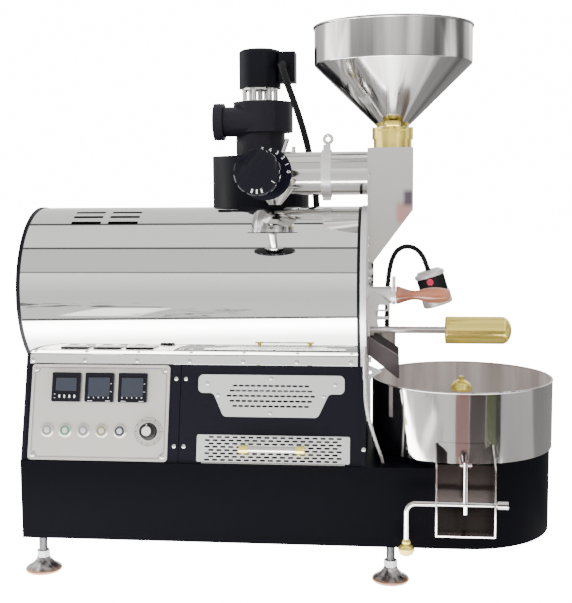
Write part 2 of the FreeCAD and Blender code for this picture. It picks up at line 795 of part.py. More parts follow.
# ---------------------------------------------------------------- drum and drive
def drum():
    mouth = -drum_gap
    length = mouth - drum_x0
    shell = tube((drum_x0, 0, axis_z), X, drum_r, drum_wall, length)
    back = rod((drum_x0, 0, axis_z), X, drum_r - drum_wall / 2, 3)
    parts = [shell, back]
    spider_x = drum_x0 + length * 0.55
    for i in range(3):
        turn = 120 * i + 90
        spoke = block(spider_x, spider_x + 6, -8, 8, shaft_r - 2, drum_r - drum_wall / 2)
        spoke.rotate(V(0, 0, 0), X, turn)
        spoke.translate(V(0, 0, axis_z))
        parts.append(spoke)
    for i in range(6):
        vane = block(drum_x0 + 10, mouth - 12, -1.5, 1.5, drum_r - vane_h, drum_r - drum_wall / 2)
        vane.rotate(V(0, 0, 0), X, 60 * i)
        vane.translate(V(0, 0, axis_z))
        parts.append(vane)
    parts.append(tube((spider_x - 6, 0, axis_z), X, shaft_r + 8, 8, 18))
    body = joined(*parts).cut(rod((left_x, 0, axis_z), X, shaft_r, body_len))
    put("drum", body)

    end = seam_x - 20 - coupling_len
    shaft = rod((end + coupling_len / 2, 0, axis_z), X, shaft_r, plate_x - 2 - end - coupling_len / 2)
    coupling = rod((end, 0, axis_z), X, 24, coupling_len)
    put("drum_shaft", joined(shaft, coupling).cut(rod((end - 1, 0, axis_z), X, 7, 16)))

    gear_end = end - 4
    half = drum_motor_w / 2
    gearbox = block(gear_end - 50, gear_end, -half, half, axis_z - half, axis_z + half)
    can = rod((gear_end - drum_motor_len, 0, axis_z), X, half - 3, drum_motor_len - 50)
    spindle = rod((gear_end, 0, axis_z), X, 6.9, 12)
    foot = prism([(gear_end - 46, -half, deck_z), (gear_end - 4, -half, deck_z), (gear_end - 4, -half, axis_z - half),
                  (gear_end - 46, -half, axis_z - half)], V(0, 6, 0))
    feet_pair = [foot, moved(foot, 0, drum_motor_w - 6)]
    put("drum_motor", joined(gearbox, can, spindle, *feet_pair))


# ---------------------------------------------------------------- hopper, gate and chute
def feed():
    t = thin
    outer = [(hopper_neck_r, collar_top), (hopper_neck_r, hopper_neck_z), (hopper_r, hopper_low),
             (hopper_r, hopper_top)]
    slant = t / cos(atan2(hopper_low - hopper_neck_z, hopper_r - hopper_neck_r))
    inner = [(hopper_r - t, hopper_top), (hopper_r - t, hopper_low + t * 0.4),
             (hopper_neck_r - t, hopper_neck_z + slant * 0.2), (hopper_neck_r - t, collar_top)]
    shell = lathe(outer + inner, (hopper_x, 0, 0))
    rim = Part.makeTorus(hopper_r, rim_r, V(hopper_x, 0, hopper_top), Z)
    put("hopper", joined(shell, rim))

    step_r = collar_r - collar_step
    lower = tube((hopper_x, 0, chute_top), Z, step_r, step_r - collar_bore, collar_z - chute_top)
    upper = tube((hopper_x, 0, collar_z), Z, collar_r, collar_r - collar_bore, collar_top - collar_z)
    half = collar_bore - 0.5
    slot = block(hopper_x - half - gap, hopper_x + half + gap, -collar_r - 2, collar_bore - 1,
                 gate_z - gap / 2, gate_z + gate_t + gap / 2)
    put("hopper_collar", lower, upper.cut(slot))

    front = -collar_r - 6
    blade = block(hopper_x - half, hopper_x + half, front, 0, gate_z, gate_z + gate_t)
    blade = joined(blade, rod((hopper_x, 0, gate_z), Z, half - 0.6, gate_t))
    post = rod((hopper_x, front, gate_z), Z, 3, collar_top + gate_bar_up - gate_z)
    ear = rod((hopper_x, front, gate_z), Z, 6, gate_t)
    tip = gate_bar_r * 0.6
    bar = lathe([(0, 0), (tip, 0), (gate_bar_r, tip), (gate_bar_r, gate_bar_len - tip), (tip, gate_bar_len),
                 (0, gate_bar_len)], (hopper_x - gate_bar_len / 2, front, collar_top + gate_bar_up), X)
    put("hopper_gate", joined(blade, ear, post, bar))

    x0 = plate_x
    x1 = plate_x + chute_w
    side = [(x0, chute_low), (chute_toe, chute_low), (x1, chute_bend), (x1, chute_top), (x0, chute_top)]
    body = prism([(x, -chute_half, z) for x, z in side], V(0, 2 * chute_half, 0))
    rise = t * hypot(x1 - chute_toe, chute_bend - chute_low) / (x1 - chute_toe)
    hollow = [(x0 + t, chute_low + t), (chute_toe - 1, chute_low + t), (x1 - t, chute_bend + rise),
              (x1 - t, chute_top - t), (x0 + t, chute_top - t)]
    body = body.cut(prism([(x, t - chute_half, z) for x, z in hollow], V(0, 2 * (chute_half - t), 0)))
    top = chute_low + flange_up
    for y, lip_y in ((-chute_half - flange_w, -chute_half - thin), (chute_half, chute_half)):
        flange = block(x0, x0 + flange_t, y, y + flange_w, chute_low, top)
        lip = block(x0, x0 + lip_w, lip_y, lip_y + thin, chute_low, top - lip_w / 2)
        lip = joined(lip, rod((x0 + lip_w / 2, lip_y, top - lip_w / 2), Y, lip_w / 2, thin))
        body = joined(body, flange, lip)
    body = less(body,
                rod((hopper_x, 0, chute_top - 5), Z, collar_bore, 10),
                rod((x0 - 1, 0, pipe_z), X, pipe_r - t, 2 + t),
                block(x0 - 1, x0 + t + 1, -chute_half + 7, chute_half - 7, chute_low + 4, axis_z + drum_r - 8))
    put("feed_chute", body)


# ---------------------------------------------------------------- exhaust
def exhaust():
    t = thin
    pipe = tube((clamp_x, 0, pipe_z), X, pipe_r, t, plate_x - clamp_x)
    band = tube((clamp_x - clamp_w / 2, 0, pipe_z), X, pipe_r + 3.3, 3.3, clamp_w)
    top = pipe_z + pipe_r + 3
    ear = block(clamp_x - 6, clamp_x + 6, -7, 7, top - 1, top + 9)
    eye = Part.makeTorus(6.5, 2.8, V(clamp_x + 2, 0, top + 18), Y)
    shank = rod((clamp_x + 2, 0, top + 8), Z, 3, 5)
    low = pipe_z - pipe_r - 2
    hinge = block(clamp_x - 7, clamp_x + 7, -6, 6, low - 7, low)
    put("exhaust_pipe", pipe, joined(band, ear, eye, shank, hinge))

    run = rod((tee_x, tee_front, pipe_z), Y, pipe_r, tee_back - tee_front)
    branch = rod((tee_x, 0, pipe_z), X, pipe_r, clamp_x - tee_x)
    sump = lathe([(0, 0), (10, 0), (32, 26), (0, 26)], (tee_x + 10, tee_front / 2, pipe_z - pipe_r - 15))
    body = joined(run, branch, sump)
    body = less(body, rod((tee_x, tee_front, pipe_z), Y, pipe_r - t, tee_back - tee_front),
                rod((tee_x, 0, pipe_z), X, pipe_r - t, clamp_x - tee_x))
    plate = lathe([(stem_r + fit, 3), (scale_r, 3), (scale_r, 0), (pipe_r - t - gap, 0), (pipe_r - t - gap, -6),
                   (14, -6), (14, -14), (stem_r + fit, -14)], (tee_x, tee_front, pipe_z), -Y)
    fixed = rod((tee_x, shutter_y, pipe_z), Y, pipe_r - t, 2)
    sectors = [wedge_cut(turn, shutter_y - 1, 4) for turn in (0, 180)]
    fixed = less(fixed, rod((tee_x, shutter_y - 1, pipe_z), Y, stem_r + fit, 4), *sectors)
    put("damper_tee", joined(body, fixed), plate)

    stem = rod((tee_x, knob_y + knob_t - 1, pipe_z), Y, stem_r, shutter_y + 8 - knob_y - knob_t + 1)
    blades = rod((tee_x, shutter_y - gap - 2, pipe_z), Y, pipe_r - t - 1.5, 2)
    blades = less(blades, *[wedge_cut(turn, shutter_y - 5, 6) for turn in (90, 270)])
    hub = lathe([(0, 0), (knob_r - 2, 0), (knob_r, 2), (knob_r, knob_t - 8), (16, knob_t - 6), (16, knob_t + 8),
                 (0, knob_t + 8)], (tee_x, knob_y, pipe_z), Y)
    flutes = [rod((tee_x + (knob_r + 3) * cos(2 * pi * i / 12), knob_y - 1, pipe_z + (knob_r + 3)
                   * sin(2 * pi * i / 12)), Y, 5, knob_t - 4) for i in range(12)]
    put("damper_knob", joined(stem, blades, less(hub, *flutes)))


def wedge_cut(turn, y, depth):
    """Quarter sector of the duct's bore, leaving a hub, at an angle about the damper stem."""
    reach = pipe_r - thin - 4
    sector = Part.makeCylinder(reach, depth, V(), Z, 86)
    sector = sector.cut(rod((0, 0, 0), Z, stem_r + 5, depth))
    sector.rotate(V(), Z, turn + 2)
    sector.rotate(V(), X, -90)
    sector.translate(V(tee_x, y, pipe_z))
    return sector


def cyclone():
    t = thin
    centre = (stack_x, stack_y, 0)
    outline = [(0, cone_low), (cone_r, cone_low), (cyclone_r, cyclone_low), (cyclone_r, cyclone_top), (0, cyclone_top)]
    hollow = [(0, cone_low - 1), (cone_r - t, cone_low - 1), (cone_r - t, cone_low), (cyclone_r - t, cyclone_low),
              (cyclone_r - t, cyclone_top - t), (0, cyclone_top - t)]
    inlet = (tee_x, tee_back, pipe_z)
    reach = stack_y - tee_back
    body = joined(lathe(outline, centre), rod(inlet, Y, pipe_r, reach))
    body = less(body, lathe(hollow, centre), rod(inlet, Y, pipe_r - t, reach))
    body = body.cut(rod((stack_x, stack_y, cyclone_top - 5), Z, duct_r - 6, 10))
    finder = tube((stack_x, stack_y, pipe_z - 20), Z, duct_r - 6, t, cyclone_top - pipe_z + 20)
    body = joined(body, finder)

    low = pot_shelf_z()
    pot = lathe([(0, low), (pot_r, low), (pot_r, cone_low), (cone_r + gap, cone_low), (cone_r + gap, cone_low - 4),
                 (pot_r - t, cone_low - 4), (pot_r - t, low + t), (0, low + t)], centre)
    shelf = block(stack_x - 50, stack_x + 50, base_half, stack_y + pot_r - 20, low - 3, low)
    back = block(stack_x - 50, stack_x + 50, base_half, base_half + 3, low - 36, low)
    ribs = [prism([(stack_x + side * 44, base_half + 2, low - 36), (stack_x + side * 44, base_half + 2, low - 2),
                   (stack_x + side * 44, stack_y + 20, low - 2)], V(3 * side, 0, 0)) for side in (-1, 1)]

    latch_x = stack_x + 56
    latch_y = stack_y - 55
    latch = joined(block(latch_x - 14, latch_x + 16, latch_y - 6, latch_y + 6, cyclone_top, cyclone_top + 7),
                   rod((latch_x - 8, latch_y, cyclone_top + 5), V(0.35, 0, 1), 4, 27),
                   rod((latch_x + 12, latch_y, cyclone_top + 5), Z, 3.5, 11))
    put("cyclone", body, pot, joined(shelf, back, *ribs), latch)


def fan():
    t = thin
    duct = tube((stack_x, stack_y, cyclone_top), Z, duct_r, t, fan_z - cyclone_top)
    cx = stack_x + fan_shift
    out_y = stack_y - (fan_r - outlet_r)
    out_z = fan_z + outlet_up
    run = cx - outlet_x
    case = joined(duct, rod((cx, stack_y, fan_z), Z, fan_r, fan_h), rod((cx, out_y, out_z), -X, outlet_r, run),
                  rod((outlet_x + outlet_flange_t, out_y, out_z), -X, outlet_flange_r, outlet_flange_t))
    case = less(case, rod((cx, stack_y, fan_z + t), Z, fan_r - t, fan_h - 2 * t),
                rod((cx, out_y, out_z), -X, outlet_r - t, run),
                rod((stack_x, stack_y, fan_z - 1), Z, duct_r - 10, t + 2),
                rod((stack_x, stack_y, fan_z + fan_h - 5), Z, 12, 10))
    put("fan_housing", case)

    low = fan_z + 6
    wheel = rod((stack_x, stack_y, low), Z, fan_r - fan_shift - 8, 2)
    blades = []
    for i in range(10):
        blade = block(18, fan_r - fan_shift - 9, -0.8, 0.8, low, fan_z + fan_h - 12)
        blade.rotate(V(14, 0, 0), Z, 20)
        blade.rotate(V(), Z, 36 * i)
        blade.translate(V(stack_x, stack_y, 0))
        blades.append(blade)
    hub = rod((stack_x, stack_y, low), Z, 9, fan_h - 18)
    motor_z = fan_z + fan_h + cage_h
    shaft = rod((stack_x, stack_y, low), Z, 5, motor_z + 30 - low)
    ring = tube((stack_x, stack_y, low + 20), Z, 34, 2, 3)
    put("fan_impeller", joined(wheel, hub, shaft, ring, *blades))

    cage = []
    for z in (fan_z + fan_h, motor_z - 3):
        cage.append(tube((stack_x, stack_y, z), Z, cage_r, 14, 3))
    for i in range(6):
        a = radians(60 * i + 15)
        cage.append(rod((stack_x + (cage_r - 5) * cos(a), stack_y + (cage_r - 5) * sin(a), fan_z + fan_h), Z, 4.5,
                        cage_h))
    body = lathe([(0, 0), (motor_r, 0), (motor_r, motor_h - 6), (motor_r - 3, motor_h - 2), (motor_r - 10, motor_h),
                  (0, motor_h)], (stack_x, stack_y, motor_z))
    body = body.cut(rod((stack_x, stack_y, motor_z - 1), Z, 5 + fit, 40))
    box_x = stack_x + motor_r - 1.5
    box = block(box_x, box_x + box_w, stack_y - box_d / 2, stack_y + box_d / 2, motor_z + motor_h - box_drop - box_h,
                motor_z + motor_h - box_drop)
    box = box.cut(rod((stack_x, stack_y, motor_z - 1), Z, motor_r, motor_h + 2))
    gland = hexagon((conduit_route[0][0], stack_y - box_d / 2, conduit_route[0][2]), -Y, 20, 6)
    put("fan_motor", joined(*cage), body, joined(box, gland))
    put("motor_conduit", cable("motor_conduit", conduit_route, conduit_r))


# chosen points of the motor's conduit: out of the junction box, down behind the pipe and the hood,
# and into the rear side panel at a right angle
conduit_route = [
    (-148, stack_y - box_d / 2 - 6, 867), (-148, 178, 867), (-144.5, 163, 853), (-138, 157, 833), (-127, 154, 804),
    (-115.5, 153.5, 772), (-104.5, 154, 736), (-95.5, 156, 697), (-88.5, 159, 656), (-84, 162, 610),
    (-82, 164.5, 560), (-81.5, 166, 505), (-82, 166.5, 450), (-83, 166.5, 398), (-84.3, 166, 358),
    (-85, 156.5, 327), (-85, 140.9, 308.9), (-85, 121.4, 303.4),
]
conduit_in = conduit_route[-1]


# ---------------------------------------------------------------- front fittings
def trier():
    x0 = plate_x
    guide = lathe([(trier_r + fit, 0), (17, 0), (17, 3), (guide_r, 4), (guide_r, guide_len), (trier_r + fit, guide_len)],
                  (x0, trier_y, trier_z), X)
    put("trier_guide", guide)

    stop = x0 + guide_len + gap
    disc = rod((stop, trier_y, trier_z), X, guide_r + 1, trier_plate)
    tab = block(stop, stop + trier_plate, trier_y - 7, trier_y + 7, trier_z, trier_z + trier_tab)
    put("trier_collar", joined(disc, tab).cut(rod((stop - 1, trier_y, trier_z), X, 6 + fit, trier_plate + 2)))

    tip = x0 - trier_dip
    spoon = rod((tip, trier_y, trier_z), X, trier_r, stop - 0.2 - tip)
    scoop = rod((tip + 3, trier_y, trier_z), X, trier_r - 1.4, 88)
    above = block(tip - 1, tip + 91, trier_y - 20, trier_y + 20, trier_z, trier_z + 20)
    shank = rod((stop - 1, trier_y, trier_z), X, 6, trier_plate + 21)
    put("trier", joined(less(spoon, scoop, above), shank))

    grip = stop + trier_plate + gap
    turned = [(6.0, 0), (14.5, 0), (14.8, 3), (13.4, 8), (10.6, 16), (8.2, 25), (7.6, 32), (8.6, 39), (10.8, 46),
              (12.4, 55), (12.8, 64), (12.2, 74), (10.4, 82), (7.2, 87), (3.5, handle_len), (0, handle_len), (0, 20),
              (6.0, 20)]
    put("trier_handle", lathe(turned, (grip, trier_y, trier_z), X))


def sight():
    x0 = plate_x
    ring = lathe([(sight_r - 4, 0), (sight_r + sight_rim, 0), (sight_r + sight_rim, 5), (sight_r + 5, 8),
                  (sight_r - 4, 8)], (x0, sight_y, sight_z), X)
    seat = tube((plate_in, sight_y, sight_z), X, sight_r - gap, 4, front_t)
    glass = rod((x0 + 2, sight_y, sight_z), X, sight_r - 4, 4)
    put("sight_glass", joined(ring, seat), glass)


def discharge():
    x0 = plate_x
    plate = block(x0 + gap, x0 + gap + door_t, -door_half, door_half, door_low, door_top)
    back = x0 + gap
    ears = []
    for y in (-door_half, door_half - 4):
        tongue = prism([(back, y, door_top - 3), (back + door_t, y, door_top - 3), (hinge_x + hinge_ear, y, hinge_z - 2),
                        (hinge_x + hinge_ear, y, hinge_z), (hinge_x - hinge_ear, y, hinge_z)], V(0, 4, 0))
        ears += [tongue, rod((hinge_x, y, hinge_z), Y, hinge_ear, 4)]
    arm = rod((back + door_t - 1, 0, lever_z), X, lever_r, grip_x + 18 - back - door_t + 1)
    boss = rod((back + door_t - 1, 0, lever_z), X, 10, 7)
    pin_hole = rod((hinge_x, -door_half, hinge_z), Y, hinge_pin_r + fit, 2 * door_half)
    put("discharge_door", joined(plate, arm, boss, *ears).cut(pin_hole))

    grip = lathe([(lever_r, 0), (grip_r - 1, 0), (grip_r, 1), (grip_r, grip_len - 16), (grip_r - 3, grip_len - 9),
                  (grip_r - 9, grip_len - 3), (8, grip_len), (0, grip_len), (0, 18), (lever_r, 18)],
                 (grip_x, 0, lever_z), X)
    put("discharge_grip", grip)

    half = bracket_half
    near = [(x0, bracket_low), (x0 + 18.8, bracket_low), (x0 + 17, bracket_low + 10.5), (x0 + 37, bracket_low + 12),
            (x0 + 37, bracket_low + 16), (x0 + 14.5, bracket_low + 17), (x0 + 13.2, bracket_low + 24.7),
            (x0 + 31.7, bracket_low + 24.7), (x0 + 37.4, bracket_low + 26.7), (x0 + 37.4, bracket_low + 37),
            (x0 + 22.9, bracket_low + 50.6), (x0 + 11.2, bracket_low + 56.8), (x0 + 3.7, bracket_low + 51),
            (x0, bracket_low + 42)]
    far = [(x0, bracket_low), (x0 + 16, bracket_low), (x0 + 19, hinge_z + 2), (x0 + 14, hinge_z + 7),
           (x0, hinge_z + 7)]
    slot = block(x0 + 19, x0 + 33, -half - 1, bracket_t - half + 1, bracket_low + 27.5, bracket_low + 35)
    cheek = prism([(x, -half, z) for x, z in near], V(0, bracket_t, 0)).cut(slot)
    mate = prism([(x, half - bracket_t, z) for x, z in far], V(0, bracket_t, 0))
    pin = rod((hinge_x, -half - 1.5, hinge_z), Y, hinge_pin_r, 2 * half + 3)
    put("hinge_bracket", joined(cheek, mate, pin))

    wall = 2.0
    outline = [(x0, spout_top), (x0 + spout_len - 2, spout_top - spout_fall), (x0 + spout_len, spout_top - spout_fall - 3),
               (x0 + spout_len, spout_low), (x0 + spout_len - 3, spout_low), (x0, door_low - 9)]
    cheeks = [prism([(x, y, z) for x, z in outline], V(0, wall, 0)) for y in (-spout_half, spout_half - wall)]
    slide = prism([(x0, -spout_half, door_low - 9), (x0 + spout_len - 3, -spout_half, spout_low),
                   (x0 + spout_len - 3, -spout_half, spout_low + 3), (x0, -spout_half, door_low - 6)],
                  V(0, 2 * spout_half, 0))
    lips = [block(x0, x0 + wall, y, y + 10, door_low - 6, spout_top) for y in (-spout_half - 10, spout_half)]
    put("discharge_chute", joined(*cheeks, slide, *lips))


def lamp():
    # base block and its angle bracket, outside the far wall of the discharge chute
    route = [(x, lamp_y, z) for x, z in neck_points]
    x1, block_top = neck_points[0]
    x1 += lamp_block_w / 2 + 1
    y0 = lamp_y - lamp_block_d * 0.35
    y1 = y0 + lamp_block_d
    t = sheet
    base_block = block(x1 - lamp_block_w, x1, y0, y1, block_top - lamp_block_h, block_top)
    base_block = base_block.makeFillet(4, [e for e in base_block.Edges if abs(e.Length - lamp_block_h) < 0.1])
    low = block_top - lamp_arm_h - 4
    high = block_top - 4
    arm = block(plate_x, x1 + t, y1, y1 + t, low, high)
    toe = block(plate_x, plate_x + t, y1, y1 + lamp_block_d, low, high)
    end = block(x1, x1 + t, y0, y1 + t / 2, low, high)
    put("face_brackets", base_block, joined(arm, toe, end), *hose_brackets())
    put("lamp_gooseneck", cable("lamp_gooseneck", route, neck_r))

    along = V(sin(radians(lamp_tilt)), 0, -cos(radians(lamp_tilt)))
    top = (lamp_x, lamp_y, lamp_z)
    r = lamp_r
    shell = lathe([(0, 0), (r - 5, 0), (r - 1, 2.5), (r, 6), (r, 11), (r - 2, 12), (r - 2, 38), (r - 1, 39), (r, 42),
                   (r, lamp_len - 2), (r - 2, lamp_len), (r - 4, lamp_len), (r - 4, lamp_len - 5), (0, lamp_len - 5)])
    well = rod((-r, 0, lamp_button_down), X, lamp_button_r + fit, 12)
    shell = shell.cut(well)
    cap = rod((-r - 0.5, 0, lamp_button_down), X, lamp_button_r, 12 - lamp_button_travel - 0.5)
    lens = rod((0, 0, lamp_len - 4.7), Z, r - 4 - gap, 2)
    # the shell is drawn along +Z with its button towards -X; turned, the button faces the control side
    for shape in (shell, cap, lens):
        shape.rotate(V(), Z, 90 + lamp_button_turn)
    put("lamp_head", stand_frame(shell, top, along), stand_frame(lens, top, along))
    put("lamp_button", stand_frame(cap, top, along))


# chosen points of the gooseneck, (x, z) in the lamp's upright plane
neck_points = [(46, 396), (46, 436), (46.6, 472), (51.9, 509.6), (59.2, 526.1), (67.7, 534.6), (79, 538.3),
               (90.8, 536.3), (100.8, 529.6), (110.3, 516.5), (lamp_x, lamp_z)]


def stand_frame(shape, start, along):
    """Turns a shape from the +Z axis to a direction in the upright x-z plane, keeping its y axis."""
    turned = shape.copy()
    turned.rotate(V(), Y, degrees(atan2(along.x, along.z)))
    turned.translate(V(*start))
    return turned


# chosen points of the braided probe hose: from its sleeve, past the front plate's edge, down through the deck
hose_route = [
    (probe_x, probe_y, probe_low), (probe_x, probe_y, 322), (12.9, probe_y - 4.3, 308), (14.4, probe_y - 8.6, 294),
    (17.2, probe_y - 10.8, 279), (22.4, probe_y - 9.5, 259.5), (29.2, probe_y - 6.8, 236),
    (36.2, probe_y - 4.2, 216), (40.3, probe_y - 2.8, 203), (41.5, probe_y - 2.5, 190),
]


def hose_brackets():
    """White bracket on the front plates, the clip that holds the probe's sleeve, and its nut."""
    x0 = plate_x
    y1 = probe_y + 24
    top = split_z + 1.8
    foot = top - gusset_h
    outline = [(x0, foot), (x0 + 7, foot), (x0 + 7, top - 29.5), (x0 + 8.2, top - 22.5), (x0 + 26.3, top - 10.7),
               (x0 + 2.8, top - 1), (x0, top)]
    gusset = prism([(x, y1, z) for x, z in outline], V(0, 2, 0)).cut(rod((x0 + 6.1, y1 - 1, top - 13.5), Y, 2.5, 4))
    strip = block(x0, x0 + 2, y1, y1 + 11, foot, top)
    low = probe_top - 14
    clip = joined(rod((probe_x, probe_y, low), Z, sleeve_r + 1.6, 12),
                  block(x0, x0 + 2, probe_y + 4, y1 - 1, low, low + 12))
    clip = clip.cut(rod((probe_x, probe_y, low - 1), Z, sleeve_r + fit, 14))
    nut = hexagon((x0 + 2, y1 - 6, low + 6), X, 8, 6)
    sleeve = joined(rod((probe_x, probe_y, probe_low), Z, sleeve_r, probe_top - probe_low),
                    rod((probe_x, probe_y, probe_top), Z, probe_r, 26))
    return joined(gusset, strip), clip, nut, sleeve


def hose():
    put("probe_hose", cable("probe_hose", hose_route, hose_r))


# ---------------------------------------------------------------- cooling bin
def cooling():
    t = thin
    wall = tube((bin_x, 0, bin_low), Z, bin_r, t, bin_top - bin_low)
    rim = Part.makeTorus(bin_r - t / 2, bin_rim_r, V(bin_x, 0, bin_top), Z)
    ledge = tube((bin_x, 0, bin_low), Z, bin_r - t / 2, bin_r - t / 2 - plenum_r + t, t)
    pan = tube((bin_x, 0, plenum_low), Z, plenum_r, t, bin_low + t - plenum_low)
    bottom = rod((bin_x, 0, plenum_low), Z, plenum_r, t)
    floor_z = bin_low + t
    door_half_w = spill_door_w / 2 - 4
    body = joined(wall, rim, ledge, pan, bottom)
    duct_low = plenum_low + 6
    duct_hole = block(bin_x - plenum_r - 10, bin_x - plenum_r + 30, -40, 40, duct_low, deck_z - sheet - 6)
    body = less(body,
                block(spill_x - door_half_w, spill_x + door_half_w, -bin_r - 5, -bin_r + 30, floor_z + floor_t,
                      spill_door_top - 4),
                rod((bin_x, 0, plenum_low - 1), Z, stir_shaft_r + 3, t + 2), duct_hole)
    put("cooling_bin", body)

    holes = [Part.Wire([Part.makeCircle(stir_shaft_r + fit, V())])]
    ring_pitch = 11.0
    for ring in range(3, 13):
        r = ring_pitch * ring
        count = int(2 * pi * r / 13)
        for i in range(count):
            a = 2 * pi * (i + 0.5 * (ring % 2)) / count
            holes.append(Part.Wire([Part.makeCircle(2.2, V(r * cos(a), r * sin(a), 0))]))
    disc = pierced(Part.Wire([Part.makeCircle(bin_r - t - gap, V())]), holes, floor_t)
    put("bin_floor", moved(disc, bin_x, 0, floor_z))

    foot = floor_z + floor_t + gap
    shaft = rod((bin_x, 0, plenum_low - 50), Z, stir_shaft_r, foot + 2 - plenum_low + 50)
    hub = rod((bin_x, 0, foot), Z, hub_r, dome_z - foot)
    parts = [shaft, hub]
    reach = bin_r - 22
    fall = atan2(dome_z - 10 - foot - 30, reach)
    for i in range(arms):
        arm = rod((0, 0, dome_z - 8), V(cos(fall), 0, -sin(fall)), arm_r, reach / cos(fall))
        blade = block(reach - paddle, reach, -1.5, 1.5, foot, dome_z - 6 - (reach - paddle) * tan(fall))
        arm_piece = joined(arm, blade.cut(block(0, reach + 9, -9, 9, foot + 46, dome_z)))
        arm_piece.rotate(V(), Z, 360 / arms * i)
        parts.append(moved(arm_piece, bin_x, 0))
    dome = rod((bin_x, 0, dome_z), Z, dome_r, dome_r).common(Part.makeSphere(dome_r, V(bin_x, 0, dome_z)))
    bolt = hexagon((bin_x, 0, dome_z + dome_r - 0.6), Z, 8, 6)
    put("stirrer", joined(*parts), joined(dome, bolt))

    low = plenum_low - 72
    motor = block(bin_x - 36, bin_x + 36, -36, 36, low, plenum_low)
    put("stirrer_motor", motor.cut(rod((bin_x, 0, plenum_low - 52), Z, stir_shaft_r + fit, 60)))

    top = plenum_low - 6
    bz = top - blower_h
    house = rod((blower_x, 0, bz), Z, blower_r, blower_h)
    out = block(blower_x - 30, blower_x + 30, 20, base_half - sheet, bz, top)
    duct_x = bin_x - plenum_r
    elbow = block(blower_x - 40, duct_x, -38, 38, top, deck_z - sheet - 8)
    house = joined(house, out, elbow)
    house = less(house, rod((blower_x, 0, bz + t), Z, blower_r - t, blower_h - 2 * t),
                 block(blower_x - 30 + t, blower_x + 30 - t, 20, base_half, bz + t, top - t),
                 block(blower_x - 40 + t, duct_x + 1, -38 + t, 38 - t, top + t, deck_z - sheet - 8 - t),
                 rod((blower_x, 0, top - 5), Z, 36, 10), rod((blower_x, 0, bz - 1), Z, 6, 5))
    legs = [rod((blower_x + sx * 50, sy * 50, base_z + sheet), Z, 5, bz - base_z - sheet)
            for sx in (-1, 1) for sy in (-1, 1)]
    can = rod((blower_x, 0, base_z + sheet + 1), Z, 30, bz - base_z - sheet - 1)
    can = can.cut(rod((blower_x, 0, base_z + sheet + 8), Z, 4 + fit, 60))
    put("cooling_blower", joined(house, *legs), can)
    wheel = rod((blower_x, 0, bz + 5), Z, blower_r - 12, 2)
    blades = []
    for i in range(12):
        blade = block(38, blower_r - 13, -0.8, 0.8, bz + 5, top - 8)
        blade.rotate(V(34, 0, 0), Z, 24)
        blade.rotate(V(), Z, 30 * i)
        blades.append(moved(blade, blower_x, 0))
    spindle = rod((blower_x, 0, base_z + sheet + 9), Z, 4, bz + 18 - base_z - sheet - 9)
    put("cooling_impeller", joined(wheel, spindle, rod((blower_x, 0, bz + 5), Z, 8, 16), *blades))


def spill():
    t = 2.2
    x0 = spill_x - spill_w / 2
    x1 = spill_x + spill_w / 2
    rear = -base_half
    outline = [(rear, spill_low + 3), (rear - 3, spill_low), (spill_front + 3, spill_low), (spill_front, spill_low + 3),
               (spill_front, spill_top - 26), (rear - 2, spill_top), (rear + 14, spill_top), (rear + 14, bin_low + 1),
               (rear, bin_low + 1)]
    sides = [prism([(x, y, z) for y, z in outline], V(t, 0, 0)) for x in (x0, x1 - t)]
    back = block(x0, x1, rear - t, rear, spill_low, bin_low - 2)
    bottom = block(x0, x1, spill_front, rear, spill_low, spill_low + t)
    ramp = prism([(x0, rear, spill_low + 36), (x0, rear, spill_low + 34), (x0, spill_front + 4, spill_low + 1),
                  (x0, spill_front + 4, spill_low + 3)], V(spill_w, 0, 0))
    body = joined(*sides, back, bottom, ramp)
    body = less(body, rod((bin_x, 0, bin_low), Z, bin_r + gap, 60), rod((bin_x, 0, base_z), Z, base_half, bin_low),
                rod((x0 - 1, crank_y, crank_z), X, crank_r + fit, spill_w + 2))
    put("outlet_chute", body)

    inner = bin_r + gap
    door = tube((bin_x, 0, bin_low + 3), Z, inner + 2, 2, spill_door_top - bin_low - 3)
    half = spill_door_w / 2
    door = door.common(block(spill_x - half, spill_x + half, -bin_r - 10, -bin_r + 20, bin_low, bin_top))
    lugs = [block(spill_x + dx - 1.5, spill_x + dx + 1.5, crank_y - 2, -inner - 0.5, bin_low + 5, bin_low + 13)
            for dx in (-6, 6)]
    bolts = [rod((spill_x - 9, crank_y, bin_low + 9), X, 2.5, 18)]
    put("outlet_door", joined(door, *lugs, *bolts).cut(rod((spill_x, crank_y, crank_z), Z, crank_r, 70)))

    level = crank_z
    straight = rod((crank_x + crank_bend, crank_y, level), X, crank_r, crank_end - 16 - crank_x - crank_bend)
    corner = Part.makeTorus(crank_bend, crank_r, V(crank_x + crank_bend, crank_y, level - crank_bend), Y)
    corner = corner.common(block(crank_x - 10, crank_x + crank_bend, crank_y - 9, crank_y + 9, level - crank_bend,
                                 level + 9))
    drop = rod((crank_x, crank_y, level - crank_drop), Z, crank_r, crank_drop - crank_bend)
    post = rod((spill_x, crank_y, level - 15), Z, crank_r, bin_low + 13 - level + 15)
    weight = rod((crank_end - 16, crank_y, level), X, 6.5, 16)
    ball = lathe([(0, 0), (6, 0), (10.5, 3), (ball_r, 8), (ball_r, 11), (9.5, 15), (5.5, 17.5), (6.5, 20), (6.5, 22),
                  (5, 25), (0, 25)], (crank_x, crank_y, level - crank_drop - 25))
    put("outlet_lever", joined(straight, corner, drop, post, weight), ball)


# ---------------------------------------------------------------- build and write
for section in (base, side_panels, hood, end_plates, front_plate, case_screws, feet, controls, burner, drawer, drum,
                feed, exhaust, cyclone, fan, trier, sight, discharge, lamp, hose, cooling, spill):
    section()

os.makedirs("parts", exist_ok=True)
for name, shape in nodes.items():
    shape = shape.copy()
    shape.translate(shift)
    shape.exportStep(f"parts/{name}.step")
print(len(nodes), "nodes")
